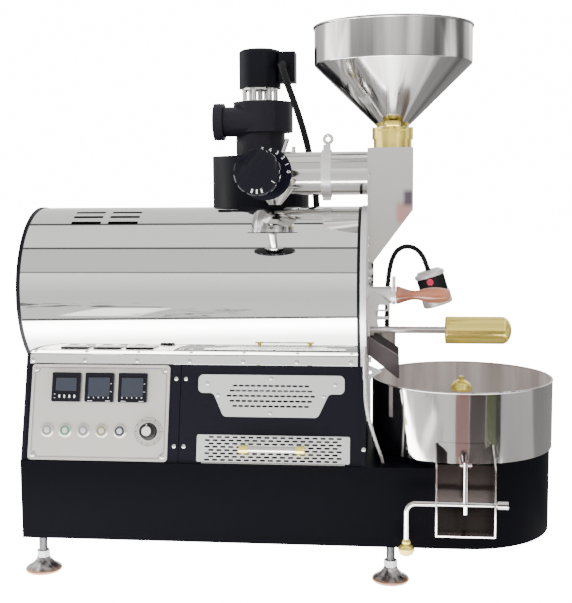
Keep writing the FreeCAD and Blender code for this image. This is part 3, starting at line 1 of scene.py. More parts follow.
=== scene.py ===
# %% [markdown]
# # A home coffee bean roaster, dressed for its portrait
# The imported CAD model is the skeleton: every size and every moving body comes from it. This lesson gives
# each piece its real surface, and it remakes the pieces whose edges, slots or curves a camera sees best.

# %% Load the frame
import json
from math import asin, atan2, cos, degrees, hypot, pi, radians, sin, sqrt

import bmesh
import bpy
from mathutils import Matrix, Vector


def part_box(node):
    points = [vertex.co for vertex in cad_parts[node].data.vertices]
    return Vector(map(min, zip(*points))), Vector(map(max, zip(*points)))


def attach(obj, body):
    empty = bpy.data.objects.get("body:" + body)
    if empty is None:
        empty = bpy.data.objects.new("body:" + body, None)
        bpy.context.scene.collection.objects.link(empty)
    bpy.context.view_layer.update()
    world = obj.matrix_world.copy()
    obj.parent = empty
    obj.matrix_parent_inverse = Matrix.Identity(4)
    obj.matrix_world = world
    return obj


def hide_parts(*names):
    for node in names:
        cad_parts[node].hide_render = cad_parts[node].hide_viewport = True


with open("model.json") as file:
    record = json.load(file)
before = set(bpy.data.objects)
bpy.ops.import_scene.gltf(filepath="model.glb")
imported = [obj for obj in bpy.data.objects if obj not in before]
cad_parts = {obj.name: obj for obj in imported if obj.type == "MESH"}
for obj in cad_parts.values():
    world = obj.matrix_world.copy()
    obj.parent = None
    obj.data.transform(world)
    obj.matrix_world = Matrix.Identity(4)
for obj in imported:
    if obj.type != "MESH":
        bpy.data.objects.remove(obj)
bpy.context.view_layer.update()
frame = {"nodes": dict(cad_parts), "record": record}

# %% [markdown]
# ## A workshop grid
# A maker measures this machine from its drum: x = 0 is the right end of the hood, y = 0 the drum's
# upright plane and z = 0 the table, all in millimetres. The model's own origin is the middle of its
# footprint, so one shift, read from two CAD nodes, turns workshop numbers into scene positions.

# %% Workshop grid
MM = 0.001
PLATE_FACE = 14.0  # face that the front fittings bolt to
DECK_Y, DECK_Z = -142.0, 200.5  # lower edge of the sloping control side
WAIST_Y, WAIST_Z = -94.3, 368.6  # its upper edge, where the hood begins
LEAN = atan2(WAIST_Y - DECK_Y, WAIST_Z - DECK_Z)
SLOPE_LEN = hypot(WAIST_Y - DECK_Y, WAIST_Z - DECK_Z)
shaft_low, shaft_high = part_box("drum_shaft")
SHIFT = Vector((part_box("front_plate")[1].x - PLATE_FACE * MM, (shaft_low.y + shaft_high.y) / 2, 0))


def at(x, y, z):
    """Scene position of a point on the workshop grid."""
    return Vector((x, y, z)) * MM + SHIFT


def grid(point):
    """Workshop millimetres of a scene position."""
    return (point - SHIFT) / MM


def axes(x_way, z_way, start):
    """Frame whose x and z point two ways, standing at a point of the workshop grid; its unit is 1 mm."""
    z_way = Vector(z_way).normalized()
    y_way = z_way.cross(Vector(x_way)).normalized()
    facing = Matrix((y_way.cross(z_way), y_way, z_way)).transposed().to_4x4()
    return Matrix.Translation(at(*start)) @ facing @ Matrix.Scale(MM, 4)


def shifted(place, x=0.0, y=0.0, z=0.0):
    return place @ Matrix.Translation((x, y, z))


def spoke(place, angle, radius, height=0.0):
    """Frame on a circle about local z, its x pointing outwards."""
    return place @ Matrix.Rotation(angle, 4, "Z") @ Matrix.Translation((radius, 0, height))


def on_side(x, up, out, mirror=1):
    """Frame on the control side (or the rear side, mirror -1): x along, y up the slope, z straight out."""
    side = axes((mirror, 0, 0), (0, -mirror * cos(LEAN), sin(LEAN)), (0, mirror * DECK_Y, DECK_Z))
    return shifted(side, x * mirror, up, out)


def standing(x, y):
    return axes((1, 0, 0), (0, 0, 1), (x, y, 0))


def lying(x, y, z):
    return axes((0, 1, 0), (1, 0, 0), (x, y, z))


def placed(name, data):
    """New object in the scene."""
    made = bpy.data.objects.new(name, data)
    bpy.context.scene.collection.objects.link(made)
    return made


print("grid origin at", [round(c, 4) for c in SHIFT], "lean", round(degrees(LEAN), 2))

# %% [markdown]
# ## Camera
# The portrait is taken from a little above the machine's middle and right of its centre, with a longish
# lens. A camera looks along its own -Z, so its rotation is built from right, up and backwards.

# %% Camera
YAW, PITCH, ROLL = (radians(a) for a in (5.91, 6.25, -0.43))
forward = Vector((-sin(YAW) * cos(PITCH), cos(YAW) * cos(PITCH), -sin(PITCH)))
level = Vector((cos(YAW), sin(YAW), 0))
upright = level.cross(forward)
right = level * cos(ROLL) + upright * sin(ROLL)
up = upright * cos(ROLL) - level * sin(ROLL)
FOCAL_PX, LONG_SIDE_PX = 1043.46, 603
camera_data = bpy.data.cameras.new("portrait_camera")
camera_data.sensor_width = 36.0
camera_data.lens = camera_data.sensor_width * FOCAL_PX / LONG_SIDE_PX
camera = placed("portrait_camera", camera_data)
facing = Matrix((right, up, -forward)).transposed().to_4x4()
camera.matrix_world = Matrix.Translation(at(56.95, -1760.26, 641.14)) @ facing
bpy.context.scene.camera = camera
print("lens:", round(camera_data.lens, 1), "mm")

# %% [markdown]
# ## Material workbench
# Node graphs are quicker to read as sums than as boxes and wires: a `Wire` wraps one socket, so that
# `1 - mask * 0.3` adds its Math nodes by itself. A `Finish` keeps even values on the shader's own sockets
# and feeds only what changes over the surface.


# %% Material workbench
def wired(tree, kind, inputs, **settings):
    """New node with its settings, and its inputs given as values or as other nodes' outputs."""
    made = tree.nodes.new(kind)
    for key, value in settings.items():
        setattr(made, key, value)
    for key, value in inputs.items():
        if isinstance(value, bpy.types.NodeSocket):
            tree.links.new(value, made.inputs[key])
        else:
            made.inputs[key].default_value = value
    return made.outputs


class Wire:
    """A node's output inside a material, with arithmetic."""

    def __init__(self, finish, socket):
        self.finish = finish
        self.socket = socket

    def maths(self, operation, *values):
        return self.finish.node("ShaderNodeMath", dict(enumerate(values)), operation=operation)

    def __rsub__(self, other):
        return self.maths("SUBTRACT", other, self)

    def clipped(self):
        return self.finish.node("ShaderNodeClamp", {"Value": self})


for method, operation in (("__add__", "ADD"), ("__sub__", "SUBTRACT"), ("__mul__", "MULTIPLY"),
                          ("__gt__", "GREATER_THAN"), ("wave", "SINE"), ("size", "ABSOLUTE")):
    setattr(Wire, method, lambda wire, *others, operation=operation: wire.maths(operation, wire, *others))


class Finish:
    """One procedural material, started from even values on the Principled shader."""

    def __init__(self, name, color, **sockets):
        self.material = bpy.data.materials.new(name)
        self.material.use_nodes = True
        self.tree = self.material.node_tree
        self.shader = self.tree.nodes["Principled BSDF"]
        self.shader.inputs["Base Color"].default_value = (*color, 1)
        for socket, value in sockets.items():
            self.shader.inputs[socket.replace("_", " ")].default_value = value

    def node(self, kind, inputs, output=0, **settings):
        inputs = {key: value.socket if isinstance(value, Wire) else value for key, value in inputs.items()}
        return Wire(self, wired(self.tree, kind, inputs, **settings)[output])

    def place(self, stretch=(1, 1, 1)):
        """Object coordinates, in metres, stretched for a pattern that runs one way."""
        spot = self.node("ShaderNodeTexCoord", {}, "Object")
        return self.node("ShaderNodeMapping", {"Vector": spot, "Scale": stretch})

    def noise(self, scale, detail=2.0, stretch=(1, 1, 1), vector=None):
        spot = vector or self.place(stretch)
        return self.node("ShaderNodeTexNoise", {"Vector": spot, "Scale": scale, "Detail": detail}, "Fac")

    def axis(self, letter):
        """One coordinate of the workshop grid, in millimetres."""
        split = self.node("ShaderNodeSeparateXYZ", {"Vector": self.place()}, letter)
        return (split - SHIFT["XYZ".index(letter)]) * (1 / MM)

    def around(self, x, y):
        """Angle about an upright axis, from -1 to 1, with zero towards the control side."""
        across = self.axis("X") - x
        return across.maths("ARCTAN2", across, (self.axis("Y") - y) * -1) * (1 / pi)

    def blend(self, mask, low, high):
        """Colour that goes from low to high with the mask."""
        low, high = (c if isinstance(c, Wire) else (*c, 1) for c in (low, high))
        return self.node("ShaderNodeMix", {0: mask, 6: low, 7: high}, 2, data_type="RGBA")

    def ramp(self, wire, stops):
        """Brightness that follows a list of (value, brightness) stops, evenly joined."""
        low, high = stops[0][0], stops[-1][0]
        top = max(shade for _, shade in stops)
        made = self.node("ShaderNodeValToRGB", {"Fac": (wire - low) * (1 / (high - low))})
        elements = made.socket.node.color_ramp.elements
        while len(elements) < len(stops):
            elements.new(0.5)
        for element, (value, shade) in zip(elements, stops):
            element.position = (value - low) / (high - low)
            element.color = (shade / top, shade / top, shade / top, 1)
        return made * top

    def ray(self, kind):
        return self.node("ShaderNodeLightPath", {}, kind)

    def feed(self, socket, wire):
        self.tree.links.new(wire.socket, self.shader.inputs[socket])
        return self

    def paint(self, mask, low, high):
        return self.feed("Base Color", self.blend(mask, low, high))

    def bump(self, height, strength, distance=0.0002):
        inputs = {"Height": height, "Strength": strength, "Distance": distance}
        return self.feed("Normal", self.node("ShaderNodeBump", inputs, "Normal"))


def near(wire, centre, width, soft):
    """Mask that is 1 within width of a centre value and fades over soft."""
    return (1 - ((wire - centre).size() - width) * (1 / soft)).clipped()


# %% [markdown]
# ## Steel
# The hood is polished until it mirrors the room, the hopper and the bin keep the marks of rolling and
# spinning, and brackets are satin sheet. Scratches are noise stretched along the way the metal was
# worked. The light and dark streaks on a round wall follow the angle about its axis; they are partly those
# marks and partly painted reflections of the room.


# %% Steel finishes
def worked(name, color, rough, vary, scale, lift, distance=0.0004, stretch=(1, 1, 1), **sockets):
    """Finish whose roughness and relief follow one noise."""
    made = Finish(name, color, Roughness=rough, **sockets)
    marks = made.noise(scale, 3, stretch)
    made.feed("Roughness", marks * vary + (rough - vary / 2))
    return made.bump(marks, lift, distance)


def streaked(name, x, low, high, rough, count, lift, metallic=1.0):
    """Rolled steel round an upright axis, streaked up and down with marks and painted reflections."""
    made = Finish(name, high, Metallic=metallic, Roughness=rough)
    line = made.node("ShaderNodeCombineXYZ", {"X": made.around(x, 0) * count, "Y": made.axis("Z") * 0.002})
    marks_and_reflections = made.noise(1.0, 4, vector=line)
    fine = made.noise(9.0, 2, vector=line)
    # Painted streaks: partly rolling marks, partly painted reflections of the room.
    made.paint((marks_and_reflections * 3.4 - 1.2).clipped(), low, high)
    made.feed("Roughness", fine * 0.12 + (rough - 0.06))
    return made.bump(fine, lift, 0.0006)


HOPPER_X, BIN_X = 54.8, 171.6
ALONG, UPRIGHT = (0.4, 1, 1), (0.3, 0.3, 3)
MIRROR = worked("mirror_polished_steel", (0.83, 0.825, 0.81), 0.035, 0.03, 7, 0.03, 0.003, (0.5, 1, 1),
                Metallic=1.0)
POLISHED = worked("polished_steel", (0.80, 0.78, 0.76), 0.12, 0.08, 60, 0.05, stretch=ALONG, Metallic=1.0)
SATIN, CHUTE = (worked(name, (0.74, 0.72, 0.69), 0.3, 0.1, 260, 0.04, 0.0002, UPRIGHT, Metallic=1.0)
                for name in ("satin_steel", "chute_steel"))
MACHINED = worked("machined_steel", (0.52, 0.52, 0.53), 0.30, 0.20, 160, 0.03, Metallic=1.0)
SILVER_PAINT = worked("silver_paint", (0.60, 0.60, 0.59), 0.36, 0.06, 1600, 0.1, 0.00008, Metallic=0.4)
champagne = (0.70, 0.665, 0.61)
CHAMPAGNE = worked("champagne_panel", champagne, 0.36, 0.16, 130, 0.04, 0.0002, (0.35, 9, 9), Metallic=0.8)
# Painted highlight: the panel is painted lighter along its top edge.
CHAMPAGNE.paint(near(CHAMPAGNE.axis("Z"), 367, 5, 16), champagne, (0.96, 0.94, 0.91))
LIGHT_SATIN = worked("light_satin_aluminium", (0.84, 0.82, 0.82), 0.42, 0.1, 200, 0.03, 0.0002, Metallic=0.7)
PALE_CAP = worked("pale_cap", (0.62, 0.60, 0.60), 0.30, 0.10, 300, 0.02, Metallic=0.5)
SHADED = worked("shaded_polished_steel", (0.03, 0.024, 0.022), 0.2, 0.06, 60, 0.04, stretch=ALONG,
                Metallic=0.9)
# A darker copy of the satin sheet, painted to stand in for a dark reflection.
DARK_REFLECTION_SHEET = worked("satin_sheet_painted_dark", (0.12, 0.105, 0.11), 0.34, 0.1, 60, 0.04, stretch=ALONG, Metallic=0.9)
CHROME = worked("warm_chrome", (0.86, 0.80, 0.76), 0.16, 0.06, 60, 0.02, Metallic=0.7)
# The chrome is painted with upright dark and light streaks: painted reflections.
reflection_streaks = (CHROME.noise(70, 3, (1, 1, 0.08)) * 5 - 2).clipped()
painted_reflections = CHROME.blend(reflection_streaks, (0.13, 0.11, 0.11), (0.95, 0.90, 0.88))
CHROME.paint(near(CHROME.axis("Z"), 3, 2.5, 4), painted_reflections, (0.74, 0.42, 0.26))
ROLLED = streaked("rolled_hopper_steel", HOPPER_X, (0.40, 0.38, 0.37), (0.88, 0.86, 0.84), 0.10, 9.0, 0.05)
CHUTE_RIGHT = grid(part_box("feed_chute")[1]).x
chute_x, chute_z = CHUTE.axis("X"), CHUTE.axis("Z")
# Painted reflections near the chute's right edge: a dark patch, and a pink one just below it.
shade = near(chute_x, CHUTE_RIGHT - 8, 4, 7) * near(chute_z, 622, 8, 9)
pink_reflection = near(chute_x, CHUTE_RIGHT - 15, 8, 8) * near(chute_z, 598, 12, 10)
# The face is painted lighter towards its top.
plain = CHUTE.blend(CHUTE.ramp(chute_z, ((500, 0.0), (720, 1.0))), (0.66, 0.62, 0.575), (0.77, 0.76, 0.73))
CHUTE.paint(shade, CHUTE.blend(pink_reflection, plain, (0.68, 0.40, 0.37)), (0.17, 0.14, 0.165))
# The bin's inside wears a paler, duller copy of its steel: painted light for what the inside reflects.
BIN_INSIDE_LIT = streaked("bin_inside_painted_light", BIN_X, (0.52, 0.45, 0.44), (0.92, 0.86, 0.84), 0.36, 9.0, 0.04, 0.4)
SPUN = streaked("spun_bin_steel", BIN_X, (0.60, 0.57, 0.55), (0.80, 0.78, 0.76), 0.09, 5.0, 0.05)

# %% [markdown]
# ## Powder coat and plastics
# The cabinet's black is a baked powder: a satin skin with a faint orange peel and a blue cast. Knobs and
# cases are moulded plastic, matt or glossy.

# %% Coats and plastics
# The base's copy of the coat is darker and less shiny: painted shade.
COAT, HOUSING_COAT, SHADED_BASE_COAT = (
    worked(name + "_powder_coat", color, 0.4, 0.1, 900, 0.16, 0.00012, Specular_IOR_Level=shine)
    for name, color, shine in (("black", (0.004, 0.004, 0.0075), 0.14),
                               ("housing", (0.017, 0.015, 0.022), 0.14),
                               ("base", (0.0026, 0.0026, 0.0042), 0.02)))
BLACK_MATT = worked("black_moulded_plastic", (0.006, 0.006, 0.007), 0.5, 0.1, 2400, 0.2, 0.00006,
                    Specular_IOR_Level=0.3)
BLACK_GLOSS = worked("black_gloss_plastic", (0.003, 0.003, 0.006), 0.16, 0.08, 90, 0.01,
                     Specular_IOR_Level=0.2)
BLUE_CAST = worked("blue_black_anodised", (0.02, 0.03, 0.08), 0.3, 0.1, 1200, 0.1, 0.00006, Metallic=0.5)
SCREEN = worked("meter_screen", (0.022, 0.026, 0.036), 0.3, 0.06, 200, 0.01, Specular_IOR_Level=0.35)
WHITE = worked("white_marking", (0.82, 0.82, 0.80), 0.45, 0.1, 1500, 0.1, 0.00004)
PURPLE_GREY = worked("engraved_border", (0.15, 0.115, 0.135), 0.5, 0.1, 1500, 0.1, 0.00004)
RED, GREEN, GREY, YELLOW, BLUE_BLACK = (
    worked(name, color, 0.22, 0.1, 300, 0.02, Coat_Weight=0.3)
    for name, color in (("red_cap", (0.80, 0.02, 0.09)), ("green_ring", (0.08, 0.19, 0.12)),
                        ("grey_ring", (0.21, 0.20, 0.20)), ("yellow_ring", (0.22, 0.20, 0.10)),
                        ("blue_black_ring", (0.02, 0.022, 0.035))))

# %% [markdown]
# ## Brass, wood, glass and braid
# Turned brass is almost straw yellow, with fine tool marks. The trier's handle is a reddish hardwood
# under thick varnish, with its grain along the handle.

# %% Brass, wood, glass and braid
BRASS = worked("turned_brass", (0.95, 0.76, 0.18), 0.2, 0.12, 120, 0.04, 0.0001, (6, 1, 1), Metallic=0.78)
GLASS = worked("lamp_and_sight_glass", (0.75, 0.82, 0.80), 0.04, 0.03, 60, 0.01, Transmission_Weight=0.7)

WOOD = Finish("varnished_hardwood", (0.55, 0.27, 0.16), Roughness=0.3, Coat_Weight=0.7, Coat_Roughness=0.08)
figure = WOOD.noise(34, 4, (0.22, 1.6, 1.6))
pores = WOOD.noise(420, 2, (0.06, 1, 1))
grain = WOOD.blend((figure * 1.5 - 0.25).clipped(), (0.30, 0.075, 0.035), (0.64, 0.25, 0.13))
# Round its narrow neck the handle is painted darker: painted shade.
WOOD.paint(near(WOOD.axis("X"), 78, 6, 14) * 0.6, grain, (0.20, 0.055, 0.03))
WOOD.feed("Roughness", pores * 0.2 + 0.2)

BRAID = Finish("braided_steel", (0.66, 0.65, 0.62), Metallic=1.0, Roughness=0.35)
weave = (BRAID.axis("Z") * 2.4).wave() * (BRAID.axis("X") * 2.4 + BRAID.axis("Y") * 2.4).wave()
BRAID.bump(weave, 0.7, 0.0006)
BRAID.feed("Roughness", weave * 0.08 + 0.34)
print("finishes:", len(bpy.data.materials))

# %% [markdown]
# ## Dressing a CAD piece
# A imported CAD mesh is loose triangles, which a polished finish shows as facets. A copy with merged
# corners, and only its real edges sharp, shades smoothly. One CAD node may hold several solids, so each
# connected shell can get its own finish by where it lies.

# %% Dress a CAD node
body_of = {node: body for body, nodes in frame["record"]["behaviour"]["bodies"].items() for node in nodes}


def publish(name, mesh, finishes, replaced=(), angle=32, body="machine"):
    """Turns a bmesh into a finished object that stands for CAD nodes and rides on their body."""
    for face in mesh.faces:
        face.smooth = True
    for edge in mesh.edges:
        edge.smooth = edge.is_manifold and edge.calc_face_angle(0) < radians(angle)
    data = bpy.data.meshes.new(name)
    mesh.to_mesh(data)
    mesh.free()
    for finish in finishes:
        data.materials.append(finish.material)
    if replaced:
        body = body_of[replaced[0]]
    made = placed(name, data)
    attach(made, body)
    if replaced:
        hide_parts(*replaced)


def shells(mesh):
    """Connected groups of faces."""
    seen = set()
    for start in mesh.faces:
        if start in seen:
            continue
        group = [start]
        seen.add(start)
        for face in group:
            for edge in face.edges:
                fresh = [other for other in edge.link_faces if other not in seen]
                seen.update(fresh)
                group += fresh
        yield group


def dress(node, finish, *rules, faces=None):
    """Smooth copy of a CAD node; each rule is (test, finish), and a test sees a shell's two corners.

    faces, another (test, finish), sees each face's middle and the way it looks.
    """
    mesh = bmesh.new()
    mesh.from_mesh(frame["nodes"][node].data)
    bmesh.ops.remove_doubles(mesh, verts=mesh.verts, dist=2e-6)
    bmesh.ops.dissolve_degenerate(mesh, edges=mesh.edges, dist=1e-6)
    for group in shells(mesh):
        spots = [grid(vert.co) for face in group for vert in face.verts]
        low = Vector([min(p[i] for p in spots) for i in range(3)])
        high = Vector([max(p[i] for p in spots) for i in range(3)])
        chosen = max([i + 1 for i, (test, _) in enumerate(rules) if test(low, high)], default=0)
        for face in group:
            face.material_index = chosen
    finishes = [finish] + [other for _, other in rules]
    if faces:
        finishes.append(faces[1])
        for face in mesh.faces:
            if faces[0](grid(face.calc_center_median()), face.normal):
                face.material_index = len(finishes) - 1
    publish(node + "_dressed", mesh, finishes, [node])


def wide(least, most):
    """Test for shells whose extent in x is between two sizes."""
    return lambda low, high: least < high.x - low.x < most


# %% [markdown]
# ## Lathe and sheet work
# Turned pieces are profiles spun about an axis, with their corners eased, because a real edge always
# catches a thin line of light. Flat pieces are outlines given a thickness and a small chamfer.


# %% Lathe and sheet work
def eased(points, radius, steps=3):
    """Outline of (r, h) corners with each inner corner rounded off."""
    out = [points[0]]
    for before, corner, after in zip(points, points[1:], points[2:]):
        b, c, a = Vector(before), Vector(corner), Vector(after)
        reach = min(radius, (b - c).length * 0.45, (a - c).length * 0.45)
        start = c + (b - c).normalized() * reach
        end = c + (a - c).normalized() * reach
        for i in range(steps + 1):
            t = i / steps
            out.append(tuple(start * (1 - t) ** 2 + c * (2 * t * (1 - t)) + end * t ** 2))
    return out + [points[-1]]


def arc(cx, cy, radius, first, last, steps):
    """Points of an arc, in degrees, both ends included."""
    turns = [radians(first + (last - first) * i / steps) for i in range(steps + 1)]
    return [(cx + radius * cos(a), cy + radius * sin(a)) for a in turns]


def corners_at(mesh, outline, place, height=0.0):
    """New corners of an outline, lifted to a height above local z = 0."""
    return [mesh.verts.new(place @ Vector((x, y, height))) for x, y in outline]


def band(mesh, lower, upper, index=0):
    """Faces between two closed loops of corners; a loop that is one point makes triangles."""
    for i in range(len(lower)):
        j = (i + 1) % len(lower)
        corners = list(dict.fromkeys([lower[i], lower[j], upper[j], upper[i]]))
        if len(corners) > 2:
            mesh.faces.new(corners).material_index = index


def turn(mesh, profile, place, steps=96, index=0):
    """Surface of revolution about local z; points at radius 0 close it."""
    loops = []
    for r, h in profile:
        if r < 1e-6:
            loops.append(corners_at(mesh, [(0, 0)], place, h) * steps)
        else:
            loops.append(corners_at(mesh, arc(0, 0, r, 0, 360, steps)[:-1], place, h))
    for lower, upper in zip(loops, loops[1:]):
        band(mesh, lower, upper, index)
    return mesh


def inset(outline, width):
    """Closed convex outline moved inwards."""
    middle = sum((Vector(p) for p in outline), Vector((0, 0))) / len(outline)
    out = []
    for i, p in enumerate(outline):
        way = (Vector(outline[(i + 1) % len(outline)]) - Vector(outline[i - 1])).normalized()
        side = Vector((-way.y, way.x))
        if side.dot(middle - Vector(p)) < 0:
            side.negate()
        out.append(tuple(Vector(p) + side * width))
    return out


def sheet(mesh, outline, thickness, place, index=0, chamfer=0.2):
    """Flat plate standing on local z = 0, its upper edge chamfered."""
    low = corners_at(mesh, outline, place)
    edge = corners_at(mesh, outline, place, thickness - chamfer)
    top = corners_at(mesh, inset(outline, chamfer), place, thickness)
    for corners in (low[::-1], top):
        mesh.faces.new(corners).material_index = index
    band(mesh, low, edge, index)
    band(mesh, edge, top, index)


def strip(mesh, outline, width, place):
    """Flat line of even width inside a closed outline."""
    band(mesh, corners_at(mesh, outline, place), corners_at(mesh, inset(outline, width), place))


def round_box(w, h, r, cx=0.0, cy=0.0):
    """Outline of a rectangle with round corners."""
    corners = ((1, 1, 0), (-1, 1, 90), (-1, -1, 180), (1, -1, 270))
    return [p for sx, sy, first in corners
            for p in arc(cx + sx * (w / 2 - r), cy + sy * (h / 2 - r), r, first, first + 90, 5)]


def notched_box(w, h, r):
    """Outline of a rectangle whose corners are cut away in hollow arcs."""
    corners = ((1, 1, 270), (-1, 1, 360), (-1, -1, 90), (1, -1, 180))
    return [p for sx, sy, first in corners for p in arc(sx * w / 2, sy * h / 2, r, first, first - 90, 8)]


def closed(mesh):
    """Joins doubled corners and turns all faces outwards."""
    bmesh.ops.remove_doubles(mesh, verts=mesh.verts, dist=1e-7)
    bmesh.ops.recalc_face_normals(mesh, faces=mesh.faces)
    return mesh


def turned(name, profile, place, finish, replaced, steps=96, angle=32):
    """Piece that is one profile spun about an axis."""
    publish(name, closed(turn(bmesh.new(), profile, place, steps)), [finish], [replaced], angle)


# %% [markdown]
# ## Copies with Geometry Nodes
# Screws, ribs, ticks, dial marks and keys are one small thing repeated. The tree takes bare points that
# carry a turn and a scale, puts the same small object on each and makes the copies real.


# %% Copying tree
def new_tree(name, inputs):
    tree = bpy.data.node_groups.new(name, "GeometryNodeTree")
    tree.interface.new_socket("Geometry", in_out="INPUT", socket_type="NodeSocketGeometry")
    for title, kind in inputs:
        tree.interface.new_socket(title, in_out="INPUT", socket_type=kind)
    tree.interface.new_socket("Geometry", in_out="OUTPUT", socket_type="NodeSocketGeometry")
    return tree, tree.nodes.new("NodeGroupInput").outputs, tree.nodes.new("NodeGroupOutput").inputs


def copying_tree():
    tree, given, result = new_tree("copies", [("Small thing", "NodeSocketObject")])
    small = wired(tree, "GeometryNodeObjectInfo", {"Object": given["Small thing"]})
    turn_by, scale_by = (
        wired(tree, "GeometryNodeInputNamedAttribute", {"Name": name}, data_type="FLOAT_VECTOR")["Attribute"]
        for name in ("turn", "scale"))
    spread = wired(tree, "GeometryNodeInstanceOnPoints", {
        "Points": given["Geometry"], "Instance": small["Geometry"], "Rotation": turn_by, "Scale": scale_by})
    real = wired(tree, "GeometryNodeRealizeInstances", {"Geometry": spread["Instances"]})
    tree.links.new(real["Geometry"], result["Geometry"])
    return tree


COPIES = copying_tree()


def take_in(mesh, holder, place):
    """Adds an object's final shape to a bmesh and removes the object."""
    bpy.context.view_layer.update()
    plain = bpy.data.meshes.new_from_object(holder.evaluated_get(bpy.context.evaluated_depsgraph_get()))
    plain.transform(place)
    mesh.from_mesh(plain)
    bpy.data.objects.remove(holder)
    bpy.data.meshes.remove(plain)
    return mesh


def frozen(data, tree, **values):
    """Plain bmesh of a mesh or curve after a Geometry Nodes tree has worked on it."""
    carrier = placed("carrier", data)
    modifier = carrier.modifiers.new("tree", "NODES")
    modifier.node_group = tree
    for item in tree.interface.items_tree:
        if item.in_out == "INPUT" and item.name in values:
            modifier[item.identifier] = values[item.name]
    return take_in(bmesh.new(), carrier, Matrix.Identity(4))


def copies(name, small, places, finish, replaced=(), angle=32, body="machine"):
    """One small bmesh put at each of the frames in places, frozen into one piece."""
    data = bpy.data.meshes.new(name + "_unit")
    small.to_mesh(data)
    small.free()
    unit = placed(name + "_unit", data)
    parts = [place.decompose() for place in places]
    points = bpy.data.meshes.new(name + "_points")
    points.from_pydata([spot for spot, _, _ in parts], [], [])
    turns = points.attributes.new("turn", "FLOAT_VECTOR", "POINT")
    scales = points.attributes.new("scale", "FLOAT_VECTOR", "POINT")
    for i, (_, rotation, scale) in enumerate(parts):
        turns.data[i].vector = rotation.to_euler()
        scales.data[i].vector = scale
    mesh = frozen(points, COPIES, **{"Small thing": unit})
    bpy.data.objects.remove(unit)
    publish(name, mesh, [finish], replaced, angle, body)


def cube():
    mesh = bmesh.new()
    bmesh.ops.create_cube(mesh, size=1.0)
    edges = list(mesh.edges)
    bmesh.ops.bevel(mesh, geom=edges, offset=0.08, segments=1, affect="EDGES")
    return mesh


def brick(place, w, d, h):
    return place @ Matrix.Diagonal((w, d, h, 1))


# %% [markdown]
# ## Hoses with Geometry Nodes
# The radius of a hose swells and shrinks in even rings along its path. The tree resamples the path, sets
# that radius and sweeps a circle along it.


# %% Hose tree
def hose_tree():
    tree, given, result = new_tree("corrugated_hose", [
        (name, "NodeSocketFloat") for name in ("Radius", "Depth", "Pitch")])

    def sums(operation, first, second=0.0):
        return wired(tree, "ShaderNodeMath", {0: first, 1: second}, operation=operation)[0]

    spacing = sums("DIVIDE", given["Pitch"], 8.0)
    path = wired(tree, "GeometryNodeResampleCurve", {"Curve": given["Geometry"], "Length": spacing},
                 mode="LENGTH")
    gone = wired(tree, "GeometryNodeSplineParameter", {})["Length"]
    phase = sums("MULTIPLY", sums("DIVIDE", gone, given["Pitch"]), 2 * pi)
    swell = sums("MULTIPLY", sums("COSINE", phase), given["Depth"])
    wavy = sums("ADD", swell, given["Radius"])
    sized = wired(tree, "GeometryNodeSetCurveRadius", {"Curve": path["Curve"], "Radius": wavy})
    circle = wired(tree, "GeometryNodeCurvePrimitiveCircle", {"Resolution": 24, "Radius": 1.0}, mode="RADIUS")
    radius = wired(tree, "GeometryNodeInputRadius", {})["Radius"]
    swept = wired(tree, "GeometryNodeCurveToMesh", {
        "Curve": sized["Curve"], "Profile Curve": circle["Curve"], "Scale": radius, "Fill Caps": True})
    tree.links.new(swept["Mesh"], result["Geometry"])
    return tree


HOSE = hose_tree()


def hose(name, route, radius, depth, pitch, finish, replaced):
    """Corrugated hose along given points; its largest radius is the given one."""
    data = bpy.data.curves.new(name, "CURVE")
    data.dimensions = "3D"
    data.resolution_u = 12
    spline = data.splines.new("NURBS")
    spline.points.add(len(route) - 1)
    for point, spot in zip(spline.points, route):
        point.co = (*at(*spot), 1)
    spline.order_u = 3
    spline.use_endpoint_u = True
    mesh = frozen(data, HOSE, Radius=(radius - depth) * MM, Depth=depth * MM, Pitch=pitch * MM)
    publish(name, closed(mesh), [finish], [replaced], 60)


# %% [markdown]
# ## Hood
# The hood is one bent mirror sheet with six louvre slots near its left end, and a sloping flange on
# either side. Its grid in length and angle has lines on the slot edges, so slots are cells left out.

# %% Hood
HOOD_R, HOOD_Z, HOOD_LEFT, THIN = 138.5, 470.0, -543.0, 1.5
SLOT_LEN, SLOT_W, SLOT_FIRST, SLOT_STEP = 50.0, 7.0, 18.96, 7.4
FLANGE_W, FLANGE_TOP = 15.3, SLOPE_LEN - 0.2
waist_angle = degrees(asin((WAIST_Z - HOOD_Z) / HOOD_R))
slot_half = degrees(SLOT_W / 2 / HOOD_R)
slots_x = [(x - SLOT_LEN / 2, x + SLOT_LEN / 2) for x in (-448.0, -386.0)]
slots_a = [(a - slot_half, a + slot_half) for a in (90 - SLOT_FIRST - SLOT_STEP * row for row in range(3))]
columns = sorted({0.0, *sum(slots_x, ()), *(HOOD_LEFT + 40 * i for i in range(14))})
turns = sorted({*sum(slots_a, ()), *(waist_angle + (180 - 2 * waist_angle) * i / 220 for i in range(221))})
hood = bmesh.new()


def hood_skin(radius):
    circle = [(-radius * cos(a), HOOD_Z + radius * sin(a)) for a in map(radians, turns)]
    return [[hood.verts.new(at(x, y, z)) for y, z in circle] for x in columns]


def open_cell(i, j):
    if not (0 <= i < len(columns) - 1 and 0 <= j < len(turns) - 1):
        return True
    x, a = (columns[i] + columns[i + 1]) / 2, (turns[j] + turns[j + 1]) / 2
    return any(p < x < q for p, q in slots_x) and any(p < a < q for p, q in slots_a)


